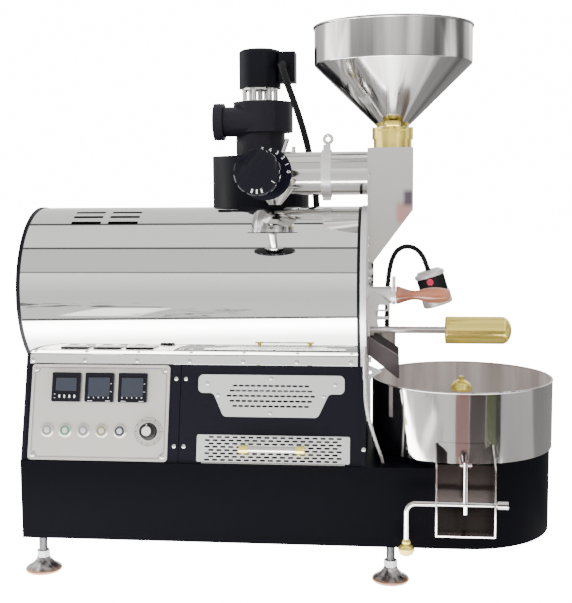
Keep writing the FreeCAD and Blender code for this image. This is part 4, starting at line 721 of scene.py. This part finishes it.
outer, inner = hood_skin(HOOD_R), hood_skin(HOOD_R - THIN)
for i in range(len(columns) - 1):
    for j in range(len(turns) - 1):
        if open_cell(i, j):
            continue
        ring = ((i, j), (i + 1, j), (i + 1, j + 1), (i, j + 1))
        hood.faces.new([outer[p][q] for p, q in ring])
        hood.faces.new([inner[p][q] for p, q in reversed(ring)])
        beyond = ((i, j - 1), (i + 1, j), (i, j + 1), (i - 1, j))
        for k, (m, n) in enumerate(beyond):
            if open_cell(m, n):
                (a, b), (c, d) = ring[k], ring[(k + 1) % 4]
                hood.faces.new((outer[c][d], outer[a][b], inner[a][b], inner[c][d]))
bmesh.ops.delete(hood, geom=[v for v in hood.verts if not v.link_faces], context="VERTS")
flange = [(-HOOD_LEFT / 2 * sx, FLANGE_W / 2 * sy) for sx, sy in ((-1, -1), (1, -1), (1, 1), (-1, 1))]
for mirror in (1, -1):
    sheet(hood, flange, THIN, on_side(HOOD_LEFT / 2, FLANGE_TOP - FLANGE_W / 2, 0, mirror), chamfer=0.4)
bmesh.ops.recalc_face_normals(hood, faces=hood.faces)
publish("hood_sheet", hood, [MIRROR], ["hood"], 30)
print("hood cells:", len(columns) - 1, "by", len(turns) - 1)

# %% [markdown]
# ## Hopper
# The hopper is rolled sheet: a short wall, a cone and a neck, with the rim rolled round a wire.

# %% Hopper
RIM_Z, HOPPER_R, NECK_R, NECK_Z = 900.0, 129.4, 26.4, 738.0
outside = eased([(NECK_R, NECK_Z), (NECK_R, 740.0), (HOPPER_R, 840.0), (HOPPER_R, 897.8)], 1.5)
rim = arc(HOPPER_R, RIM_Z, 2.2, -80, 250, 20)
inner_r, inner_neck = HOPPER_R - THIN, NECK_R - THIN
inside = eased([(inner_r, 897.0), (inner_r, 840.7), (inner_neck, 740.5), (inner_neck, NECK_Z)], 1.5)
turned("hopper_sheet", outside + rim + inside + outside[:1], standing(HOPPER_X, 0), ROLLED, "hopper", 192)

# %% [markdown]
# ## Cooling bin
# The bin is spun sheet, so its streaks run up the wall; they are spinning marks and painted reflections.
# The inside is painted paler, as the light it reflects. Its floor is a plate full of round holes, and the
# stirrer sweeps it with three arms under a brass dome.

# %% Cooling bin
def looks_in(spot, way):
    """Faces that look at the bin's axis."""
    return way.x * (spot.x - BIN_X) + way.y * spot.y < -20


# Faces that look inwards get the paler copy, painted light.
dress("cooling_bin", SPUN, faces=(looks_in, BIN_INSIDE_LIT))
dress("stirrer", SATIN, (lambda low, high: low.z > 290, BRASS))

# %% [markdown]
# ## Pieces of one finish
# Painted casing parts wear black powder coat; the base's copy is painted darker, as shade. The front
# plate is pale and satin, and the pieces that turn inside are plain machined steel.

# %% Pieces of one finish
for finish, nodes in ((SHADED_BASE_COAT, ["base_cabinet"]),
                      (COAT, ["side_panels", "motor_end_plate", "chamber_plates", "cooling_blower"]),
                      (HOUSING_COAT, ["fan_housing"]), (BLACK_GLOSS, ["panel_meters"]),
                      (CHUTE, ["feed_chute"]), (SPUN, ["outlet_door"]),
                      (SATIN, ["hinge_bracket", "bin_floor"]), (BRASS, ["hopper_collar", "hopper_gate"]),
                      (LIGHT_SATIN, ["front_plate", "trier_guide", "trier_collar"]),
                      (POLISHED, ["trier", "discharge_door"]),
                      (MACHINED, ["burner_tubes", "drum", "drum_shaft", "drum_motor", "stirrer_motor",
                                  "fan_impeller", "cooling_impeller"])):
    for node in nodes:
        dress(node, finish)
# The discharge chute's faces that look to the control side are painted dark: a painted reflection.
dress("discharge_chute", SATIN, faces=(lambda spot, way: way.y < -0.7, DARK_REFLECTION_SHEET))

# %% [markdown]
# ## Exhaust line
# Pipe and tee are polished tube. The stack behind the hood is powder coated, with a bright toggle latch
# and a bright cage between the fan and its motor.

# %% Exhaust line
dress("exhaust_pipe", POLISHED, (wide(0, 40), LIGHT_SATIN))
dress("damper_tee", POLISHED, (lambda low, high: high.y < -80, BLACK_GLOSS))
dress("cyclone", COAT, (lambda low, high: low.z > 690 and high.z > 720, POLISHED))
dress("fan_motor", COAT, (lambda low, high: high.z < 830, POLISHED))
hose("motor_conduit_rings", [
    (-148, 197, 867), (-148, 178, 867), (-144.5, 163, 853), (-138, 157, 833), (-127, 154, 804),
    (-115.5, 153.5, 772), (-104.5, 154, 736), (-95.5, 156, 697), (-88.5, 159, 656), (-84, 162, 610),
    (-82, 164.5, 560), (-81.5, 166, 505), (-82, 166.5, 450), (-83, 166.5, 398), (-84.3, 166, 358),
    (-85, 156.5, 327), (-85, 140.9, 308.9), (-85, 121.4, 303.4)], 6.5, 0.5, 3.4, BLACK_MATT, "motor_conduit")

# %% [markdown]
# ## Damper knob and its dial
# The knob is a scalloped black casting with white pointer ticks. The numbers behind it count the
# damper's openings anticlockwise from the right.

# %% Damper knob and dial
TEE_X, PIPE_Z, KNOB_FACE, DIAL_FACE = -147.0, 663.5, -203.0, -100.0
dress("damper_knob", BLACK_GLOSS, faces=(lambda spot, way: spot.y > -180, POLISHED))
TICK_R, FIGURE_R, FIGURE_SIZE = 28.5, 37.6, 8.6
knob_ticks = []
for clock, width, reach in ((5.5, 2.6, 6.5), (6.0, 2.6, 6.5), (6.5, 2.6, 6.5), (4.0, 1.0, 6.0)):
    a = radians(90 - clock * 30)
    spot = (TEE_X + TICK_R * cos(a), KNOB_FACE + 0.13, PIPE_Z + TICK_R * sin(a))
    knob_ticks.append(brick(axes((cos(a), 0, sin(a)), (0, -1, 0), spot), reach, width, 0.3))
copies("knob_ticks", cube(), knob_ticks, WHITE, body="damper")

dial = bmesh.new()
for i in range(10):
    a = radians(3 + 18.4 * i)
    spot = (TEE_X + FIGURE_R * cos(a), DIAL_FACE - 0.05, PIPE_Z + FIGURE_R * sin(a))
    digit = bpy.data.curves.new("figure", "FONT")
    digit.body = str(i)
    digit.size = FIGURE_SIZE
    digit.align_x = digit.align_y = "CENTER"
    digit.extrude = 0.1
    take_in(dial, placed("figure", digit), axes((sin(a), 0, -cos(a)), (0, -1, 0), spot))
publish("dial_figures", closed(dial), [WHITE])

# %% [markdown]
# ## Control panel
# The panel is a thin champagne plate with an engraved border and a screw in each corner. Its meters have
# dark screens with white keys; the buttons below are pale caps with coloured rings in polished bezels.

# %% Control panel
PANEL_X, PANEL_W, PANEL_LOW, PANEL_H, PANEL_T = -422.0, 232.0, 0.8, 156.5, 2.0
METER_PITCH, METER_UP, METER_FACE = 55.7, 119.7, 7.5
BUTTON_X0, BUTTON_PITCH, BUTTON_UP, FAN_KNOB_X = -506.9, 30.4, 49.0, -338.0
dress("control_panel", CHAMPAGNE, (wide(0, 30), POLISHED))

panel_middle = on_side(PANEL_X, PANEL_LOW + PANEL_H / 2, PANEL_T + 0.05)
border = bmesh.new()
for margin, notch, width in ((9.0, 9.0, 1.0), (12.5, 8.5, 0.4)):
    strip(border, notched_box(PANEL_W - margin, PANEL_H - margin, notch), width, panel_middle)
publish("panel_border", border, [PURPLE_GREY])

# A screen's outline, then its keys as (u, v, width, height).
timer = ((35, 21, 1.2, 0, 4.5), [
    *((-10.5 + 8.4 * k, -15.5, 2.6, 5.0) for k in range(4)), *((-18.5, v, 2.6, 0.8) for v in (-12, -18))])
gauge = ((36, 31, 1.2, -0.5, 0.5), [
    *((-17 + 8.2 * k, -16.8, 1.6, 1.8) for k in range(5)), *((19.8, v, 2.4, 0.8) for v in (6, -7)),
    *((u, -22.4, 8.0, 0.9) for u in (-14.5, 15))])
screens = bmesh.new()
keys = []
for i, (screen, spots) in enumerate((timer, gauge, gauge)):
    meter = on_side(PANEL_X + METER_PITCH * (i - 1), METER_UP, METER_FACE)
    sheet(screens, round_box(*screen), 1.0, shifted(meter, z=-0.9))
    keys += [brick(shifted(meter, u, v), w, h, 0.25) for u, v, w, h in spots]
publish("meter_screens", closed(screens), [SCREEN])
copies("meter_keys", cube(), keys, WHITE)

CAPS = (("power", GREY), ("heating", GREEN), ("timing", GREY), ("cooling", YELLOW), ("mixing", BLUE_BLACK))
middle = [(0, 6.6), (4.0, 6.6), (4.5, 6.1), (4.7, 6.1)]
ring = [(4.7, 6.1), (5.2, 6.9), (7.4, 6.9), (8.0, 6.2), (8.0, -12), (0, -12)]
for i, (title, ring_finish) in enumerate(CAPS):
    cap = bmesh.new()
    place = on_side(BUTTON_X0 + BUTTON_PITCH * i, BUTTON_UP, 0)
    turn(cap, eased(middle, 0.4), place, 48)
    turn(cap, eased(ring, 0.5), place, 48, 1)
    publish(title + "_cap", closed(cap), [PALE_CAP, ring_finish], [title + "_button"])

# %% [markdown]
# ## Fan speed knob
# A black fluted knob with a bright cap and a pointer line, inside a ring of dial marks.

# %% Fan speed knob
knob = bmesh.new()
knob_place = on_side(FAN_KNOB_X, BUTTON_UP, 0)
skirt = [(0, -14), (3, -14), (3, 2.5), (14.3, 2.5), (14.3, 4.5), (12.8, 5.5), (12.0, 17.0), (10.6, 18.3)]
turn(knob, eased(skirt + [(7.6, 18.3)], 0.5), knob_place)
turn(knob, [(7.6, 18.3), (7.4, 18.5), (0, 18.5)], knob_place, index=1)
closed(knob)
sheet(knob, [(-0.7, 8.8), (0.7, 8.8), (0.7, 11.6), (-0.7, 11.6)], 0.2, shifted(knob_place, z=18.2), 2, 0.05)
publish("fan_knob", knob, [BLACK_MATT, LIGHT_SATIN, WHITE], ["fan_speed_knob"])

flutes = [brick(spoke(knob_place, 2 * pi * i / 24, 12.3, 11.0), 1.2, 1.3, 10.0) for i in range(24)]
copies("fan_knob_flutes", cube(), flutes, BLACK_MATT, body="fan_speed_knob")
panel_knob = on_side(FAN_KNOB_X, BUTTON_UP, PANEL_T + 0.05)
marks = []
for i in range(31):
    long = i % 3 == 0
    place = spoke(panel_knob, radians(-240 + 10 * i), 21.0)
    marks.append(brick(place, 3.4 if long else 1.8, 1.4 if long else 0.9, 0.1))
copies("fan_dial_marks", cube(), marks, PURPLE_GREY)
rings = bmesh.new()
for radius in (19.0, 23.2):
    strip(rings, arc(0, 0, radius, 0, 355, 71), 0.7, panel_knob)
publish("fan_dial_ring", rings, [PURPLE_GREY])

# %% [markdown]
# ## Burner window and drawer
# Both are pale slotted plates on the sloping side. The drawer's handle is a grey bar between brass ends.


# %% Burner window and drawer
SIDE_OUT = Vector((0, -cos(LEAN), sin(LEAN)))


def slot_or_inside(spot, way):
    """Faces below the skin of a plate on the control side, slot walls and all behind: painted shade."""
    height = (spot - Vector((0, DECK_Y, DECK_Z))).dot(SIDE_OUT)
    return height < -0.5 or height < 2 and way.dot(SIDE_OUT) < 0.5


# Slot walls and all behind the plates' skin wear the black coat: painted shade.
dress("burner_grille", SILVER_PAINT, faces=(slot_or_inside, COAT))
dress("drawer", SILVER_PAINT, (wide(0, 20), BRASS), (wide(60, 90), SATIN), faces=(slot_or_inside, COAT))

# %% [markdown]
# ## Screws
# Every screw and nut that shows is the same pan head with a recess, so one is modelled and copied.

# %% Screws
PAN_R, SMALL_PAN_R, NUT_R = 3.6, 3.2, 4.5
GRILLE_X, GRILLE_TOP = -139.5, 143.2
FLANGE_SCREW_X, FLANGE_SCREW_PITCH, FLANGE_SCREW_UP = -10.1, 88.0, SLOPE_LEN - 9.75
CORNER_IN, NUT_Y = 8.0, 43.5
pan = [(1.0, 0.0), (0.98, 0.14), (0.86, 0.32), (0.6, 0.43), (0.42, 0.45), (0.36, 0.02), (0, 0.01)]
screws = [(on_side(FLANGE_SCREW_X - FLANGE_SCREW_PITCH * i, FLANGE_SCREW_UP, THIN, mirror), PAN_R)
          for i in range(7) for mirror in (1, -1)]
screws += [(on_side(x, v, 0), PAN_R) for x in (-295.5, -279.5) for v in (26.5, 135.8)]
screws += [(on_side(PANEL_X + sx * (PANEL_W / 2 - CORNER_IN), v, PANEL_T), PAN_R) for sx in (-1, 1)
           for v in (PANEL_LOW + CORNER_IN, PANEL_LOW + PANEL_H - CORNER_IN)]
screws.append((on_side(11.0, 26.5, THIN), PAN_R))
screws += [(on_side(GRILLE_X + x, GRILLE_TOP - drop, THIN), SMALL_PAN_R)
           for x, drop in ((-104, 14.5), (104, 14.5), (0, 5.0), (-86, 33.0), (86, 33.0), (0, 61.0))]
screws += [(lying(PLATE_FACE + 2.5, y, z), NUT_R) for y in (-NUT_Y, NUT_Y) for z in (523, 547, 559, 661)]
head = closed(turn(bmesh.new(), pan, Matrix.Identity(4), 16))
copies("screw_heads", head, [place @ Matrix.Scale(r, 4) for place, r in screws], POLISHED,
       ["case_screws"], 40)
print("screws:", len(screws))

# %% [markdown]
# ## Trier and discharge door
# The trier's handle is turned hardwood, so its outline is a smooth curve through the turner's gauge
# marks. The discharge door hangs on a steel rod with a heavy brass grip.


# %% Trier and discharge door
def flowing(marks, steps=6):
    """Smooth outline through (r, h) gauge marks."""
    padded = [marks[0]] + marks + [marks[-1]]
    out = []
    for a, b, c, d in zip(padded, padded[1:], padded[2:], padded[3:]):
        a, b, c, d = Vector(a), Vector(b), Vector(c), Vector(d)
        for t in (i / steps for i in range(steps)):
            out.append(tuple((b * 2 + (c - a) * t + (a * 2 - b * 5 + c * 4 - d) * t ** 2
                              + (b * 3 - a - c * 3 + d) * t ** 3) / 2))
    return out + [marks[-1]]


TRIER_Y, TRIER_Z = -40.0, 463.1
handle_marks = [(14.0, 0.4), (14.8, 3), (13.4, 8), (10.6, 16), (8.2, 25), (7.6, 32), (8.6, 39), (10.8, 46),
                (12.4, 55), (12.8, 64), (12.2, 74), (10.4, 82), (7.2, 87), (3.5, 88.4), (0, 88.5)]
handle_place = lying(grid(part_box("trier_handle")[0]).x, TRIER_Y, TRIER_Z)
turned("turned_handle", [(0, 0), (13.2, 0)] + flowing(handle_marks), handle_place, WOOD,
       "trier_handle", 64, 50)

GRIP_X, GRIP_Z, GRIP_R, GRIP_LEN, NOSE = 144.0, 400.0, 23.0, 110.0, 16.0
tail = [(0, 0.6), (8.0, 0.6), (8.5, 0), (GRIP_R - 1.4, 0), (GRIP_R, 1.4), (GRIP_R, GRIP_LEN - NOSE)]
nose = [(GRIP_R * cos(a), GRIP_LEN - NOSE + NOSE * sin(a)) for a in map(radians, range(6, 90, 6))]
turned("brass_grip", eased(tail, 1.0) + nose + [(0, GRIP_LEN)], lying(GRIP_X, 0, GRIP_Z), BRASS,
       "discharge_grip", angle=40)
dress("sight_glass", POLISHED, (wide(0, 5), GLASS))

# %% [markdown]
# ## Inspection lamp
# A flexible black neck carries the lamp over the bin. The head has a bright ring, a ribbed black grip
# with a red button, and a bevelled bright bezel round the lens.

# %% Inspection lamp
TILT, BUTTON_TURN = radians(17.2), radians(7.0)
LAMP_TOP = Vector((116.5, 58.0, 496.5))
down = Vector((sin(TILT), 0, -cos(TILT)))
lamp_place = axes((0, 1, 0), down, LAMP_TOP)
lamp = bmesh.new()
sections = (
    ([(0, 0), (19, 0), (21, 2), (23.6, 4.4)], 1),
    ([(23.6, 4.4), (26.0, 5.0), (26.0, 11.0), (24.0, 12.0)], 1),
    ([(24.0, 12.0), (23.2, 13.0), (23.2, 38.0), (24.6, 39.4)], 0),
    ([(24.6, 39.4), (26.0, 42.0), (26.0, 61.0), (24.0, 63.0), (22.4, 63.0), (21.6, 59.5)], 1),
    ([(21.6, 59.5), (14.0, 59.0), (0, 58.6)], 2))
for section, index in sections:
    turn(lamp, eased(section, 0.8), lamp_place, 72, index)
publish("lamp_shell", closed(lamp), [BLACK_MATT, LIGHT_SATIN, GLASS], ["lamp_head"])

out = Vector((-sin(BUTTON_TURN) * cos(TILT), -cos(BUTTON_TURN), -sin(BUTTON_TURN) * sin(TILT)))
ribs = []
for i in range(36):
    place = spoke(lamp_place, 2 * pi * i / 36, 23.6, 25.5)
    if (place.to_3x3() @ Vector((1, 0, 0))).normalized().dot(out) < 0.95:
        ribs.append(brick(place, 1.4, 1.9, 25.0))
copies("lamp_ribs", cube(), ribs, BLACK_MATT)
turned("lamp_push_button", eased([(0, 0), (5.8, 0), (5.8, 8.6), (4.9, 9.8), (0, 10)], 0.8),
       axes(down, out, LAMP_TOP + down * 19.0 + out * 16.5), RED, "lamp_button", 40)
neck = [(46, 396), (46, 436), (46.6, 472), (51.9, 509.6), (59.2, 526.1), (67.7, 534.6), (79, 538.3),
        (90.8, 536.3), (100.8, 529.6), (110.3, 516.5), (116.5, 496.5)]
hose("lamp_neck_rings", [(x, 58.0, z) for x, z in neck], 4.8, 0.5, 2.6, BLACK_MATT, "lamp_gooseneck")
dress("face_brackets", SATIN, (lambda low, high: low.y < -80 and high.x > 30, SILVER_PAINT),
      (lambda low, high: low.x > 40 and high.x < 70, BLUE_CAST))
hose("probe_hose_braid", [
    (12.4, -113, 335), (12.4, -113, 322), (12.9, -117.3, 308), (14.4, -121.6, 294), (17.2, -123.8, 279),
    (22.4, -122.5, 259.5), (29.2, -119.8, 236), (36.2, -117.2, 216), (40.3, -115.8, 203),
    (41.5, -115.5, 190)], 3.3, 0.25, 1.6, BRAID, "probe_hose")

# %% [markdown]
# ## Bin outlet
# Below the bin a bent tray catches the cooled beans; a cranked rod with a brass knob lifts its door.

# %% Bin outlet
SPILL_X, SPILL_HALF, SPILL_LOW = 167.5, 45.5, 108.0


def inside_spill(spot, way):
    """Faces between the chute's side plates, but not the front rim of its floor."""
    return abs(spot.x - SPILL_X) < SPILL_HALF - 2 and not (way.y < -0.5 and spot.z < SPILL_LOW + 3)


dress("outlet_chute", POLISHED, faces=(inside_spill, SHADED))
dress("outlet_lever", POLISHED, (lambda low, high: high.z < 110, BRASS))

# %% [markdown]
# ## Levelling feet
# Each foot is a chromed cone on a threaded stem, with a hex nut on top.

# %% Levelling feet
FOOT_R, NUT_Z, NUT_H, NUT_AF, STEM_R, STEM_TOP = 30.5, 24.0, 12.0, 19.0, 7.0, 107.0
cone = [(0, 0), (FOOT_R - 2.5, 0), (FOOT_R, 2), (FOOT_R, 5), (FOOT_R - 3, 7.5), (19, 12.5), (12.2, 20),
        (11, NUT_Z), (0, NUT_Z)]
thread = [(STEM_R - 0.7 * (i % 2), NUT_Z + NUT_H + 0.6 * i) for i in range(118)]
for name in sorted(node for node in body_of if node.startswith("foot_")):
    low, high = (grid(c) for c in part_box(name))
    place = standing((low.x + high.x) / 2, (low.y + high.y) / 2)
    foot = turn(bmesh.new(), eased(cone, 1.6), place, 64)
    sheet(foot, arc(0, 0, NUT_AF / sqrt(3), 0, 300, 5), NUT_H, shifted(place, z=NUT_Z), 1, 0.8)
    turn(foot, [(0, NUT_Z + NUT_H)] + thread + [(0, STEM_TOP)], place, 32, 1)
    publish(name + "_chromed", closed(foot), [CHROME, MACHINED], [name], 40)

# %% [markdown]
# ## Studio
# Polished steel shows nothing but what stands round it, so the white room is painted by the height and
# side of a glance: pale panels with thin dark seams between them.


# %% Studio room
class Room(Finish):
    """The world's node tree, worked with the same arithmetic."""

    def __init__(self):
        world = bpy.data.worlds.new("studio")
        world.use_nodes = True
        self.tree = world.node_tree
        self.shader = self.tree.nodes["Background"]
        bpy.context.scene.world = world


WHITE_OUT = 16.0  # glow that the camera sees as pure white
room = Room()
glance = room.node("ShaderNodeTexCoord", {}, "Generated")
gx, gy, gz = (room.node("ShaderNodeSeparateXYZ", {"Vector": glance}, letter) for letter in "XYZ")
lift = gz.maths("ARCTAN2", gz, gy * -1) * (180 / pi)
PANELS = [(-180, 0.4), (-90, 0.5), (-20, 0.95), (0, 1.0), (24, 1.45)]
for seam, above, half in ((26.5, 0.9, 0.9), (62.5, 1.15, 0.9), (107, 0.95, 1.6)):
    PANELS += [(seam - half - 0.3, PANELS[-1][1]), (seam - half, 0.08), (seam + half, 0.08),
               (seam + half + 0.3, above)]
PANELS += [(150, 1.1), (165, 1.5), (180, 1.0)]
SIDES = ((-1, 2.4), (-0.93, 2.4), (-0.88, 0.6), (-0.5, 0.6), (-0.38, 1), (0.06, 1), (0.3, 0.85), (0.42, 1.6),
         (0.58, 1.6), (0.66, 0.8), (0.8, 0.6), (0.88, 0.2), (0.97, 0.2), (1, 1.4))
seen, spread = room.ray("Is Camera Ray"), room.ray("Is Diffuse Ray")
mirrored = room.ramp(lift, PANELS) * room.ramp(gx, SIDES)
room.shader.inputs["Color"].default_value = (1, 1, 0.995, 1)
room.feed("Strength", seen * WHITE_OUT + (1 - seen) * (spread + (1 - spread) * mirrored))


def soft_light(name, size, position, power):
    """Soft rectangular light aimed at the machine; polished steel doesn't show it."""
    data = bpy.data.lights.new(name, "AREA")
    data.shape = "RECTANGLE"
    data.size, data.size_y = size
    data.energy = power
    made = placed(name, data)
    made.location = position
    made.rotation_euler = (Vector((0, 0, 0.4)) - Vector(position)).to_track_quat("-Z", "Y").to_euler()
    made.visible_glossy = False


soft_light("key", (1.6, 1.2), (-1.2, -2.2, 2.0), 30)
soft_light("fill", (1.4, 1.4), (2.0, -1.6, 1.4), 18)
soft_light("top", (2.4, 1.6), (0, 0.2, 2.6), 30)


def stage_sheet(name, corners, finish, to_camera=True):
    """Flat sheet of the studio, not part of the machine."""
    data = bpy.data.meshes.new(name)
    data.from_pydata(corners, [], [tuple(range(len(corners)))])
    data.materials.append(finish.material)
    made = placed(name, data)
    made.visible_camera = made.visible_shadow = to_camera


# %% [markdown]
# ## Floor and workshop cards
# The camera sees a plain white floor. Steel sees a bright sheet under the machine with a dark front edge, a
# duller floor in front of it and a dim one behind. Low cards, hidden from the camera, put upright columns
# into the bin's mirror wall.

# %% Floor and workshop cards
FLOOR = worked("studio_floor", (0.95, 0.95, 0.95), 0.7, 0.1, 3, 0.02, Emission_Strength=WHITE_OUT)
FLOOR.paint(FLOOR.ray("Is Glossy Ray"), (0.95, 0.95, 0.95), (0.03, 0.03, 0.03))
floor_x, floor_y = FLOOR.axis("X"), FLOOR.axis("Y")
edge = floor_y + 600 + (floor_x + 771) * 0.205
sheet_lit = FLOOR.ramp(edge, ((-2000, 0.85), (-62, 0.95), (-58, 0.04), (-4, 0.04), (0, 14.0), (200, 18.0),
                              (420, 6.0), (900, 2.0), (1000, 0.3), (4000, 0.3)))
sheet_lit = sheet_lit * FLOOR.ramp(floor_x, ((-1500, 1), (0, 1), (200, 0.7), (3000, 0.7)))
aside = ((floor_x - 650) * 0.005).clipped() * ((100 - floor_y) * 0.01).clipped()
sheet_lit = sheet_lit * (1 - aside) + aside * 0.5
paper = near(floor_x, -640, 90, 12) * near(floor_y, -1000, 210, 12)
sheet_lit = sheet_lit + paper * 1.6
rope = near(FLOOR.noise(7.0, 2, (1, 1.6, 1)), 0.5, 0.012, 0.012) * near(floor_x, -450, 110, 40)
rope = rope * near(floor_y, -980, 190, 40)
rubble = (FLOOR.noise(9.0, 3, (1, 0.5, 1)) > 0.55) * near(floor_x, -1000, 200, 80)
rubble = rubble * near(floor_y, -1500, 260, 80)
dash = near(floor_x, -700, 100, 10) * near(floor_y, -1330, 26, 12)
lines = (rope + rubble + dash).clipped()
dull = FLOOR.ray("Is Diffuse Ray")
glow = ((1 - dull) * sheet_lit * (1 - lines * 0.9) + dull * 0.35) * (1 / WHITE_OUT)
FLOOR.feed("Emission Color", FLOOR.blend(FLOOR.ray("Is Camera Ray"), glow, (1, 1, 1)))
stage_sheet("floor", [(-12, -12, 0), (12, -12, 0), (12, 12, 0), (-12, 12, 0)], FLOOR)
CARD_Y, CARD_TOP = -643.0, 450.0
for name, x0, x1, color in (("rose", 64, 230, (0.14, 0.08, 0.075)),
                            ("shadow", 236, 456, (0.012, 0.007, 0.007)),
                            ("green", 463, 640, (0.032, 0.038, 0.014)),
                            ("pillar", 640, 760, (0.005, 0.005, 0.005))):
    card = worked(name + "_card", color, 0.8, 0.1, 3, 0.02, Emission_Strength=1.0)
    card.feed("Emission Color", card.blend(card.noise(6, 2), color, tuple(c * 0.5 for c in color)))
    corners = [at(x, CARD_Y, z) for x, z in ((x0, 1), (x1, 1), (x1, CARD_TOP), (x0, CARD_TOP))]
    stage_sheet(name + "_card", corners, card, False)
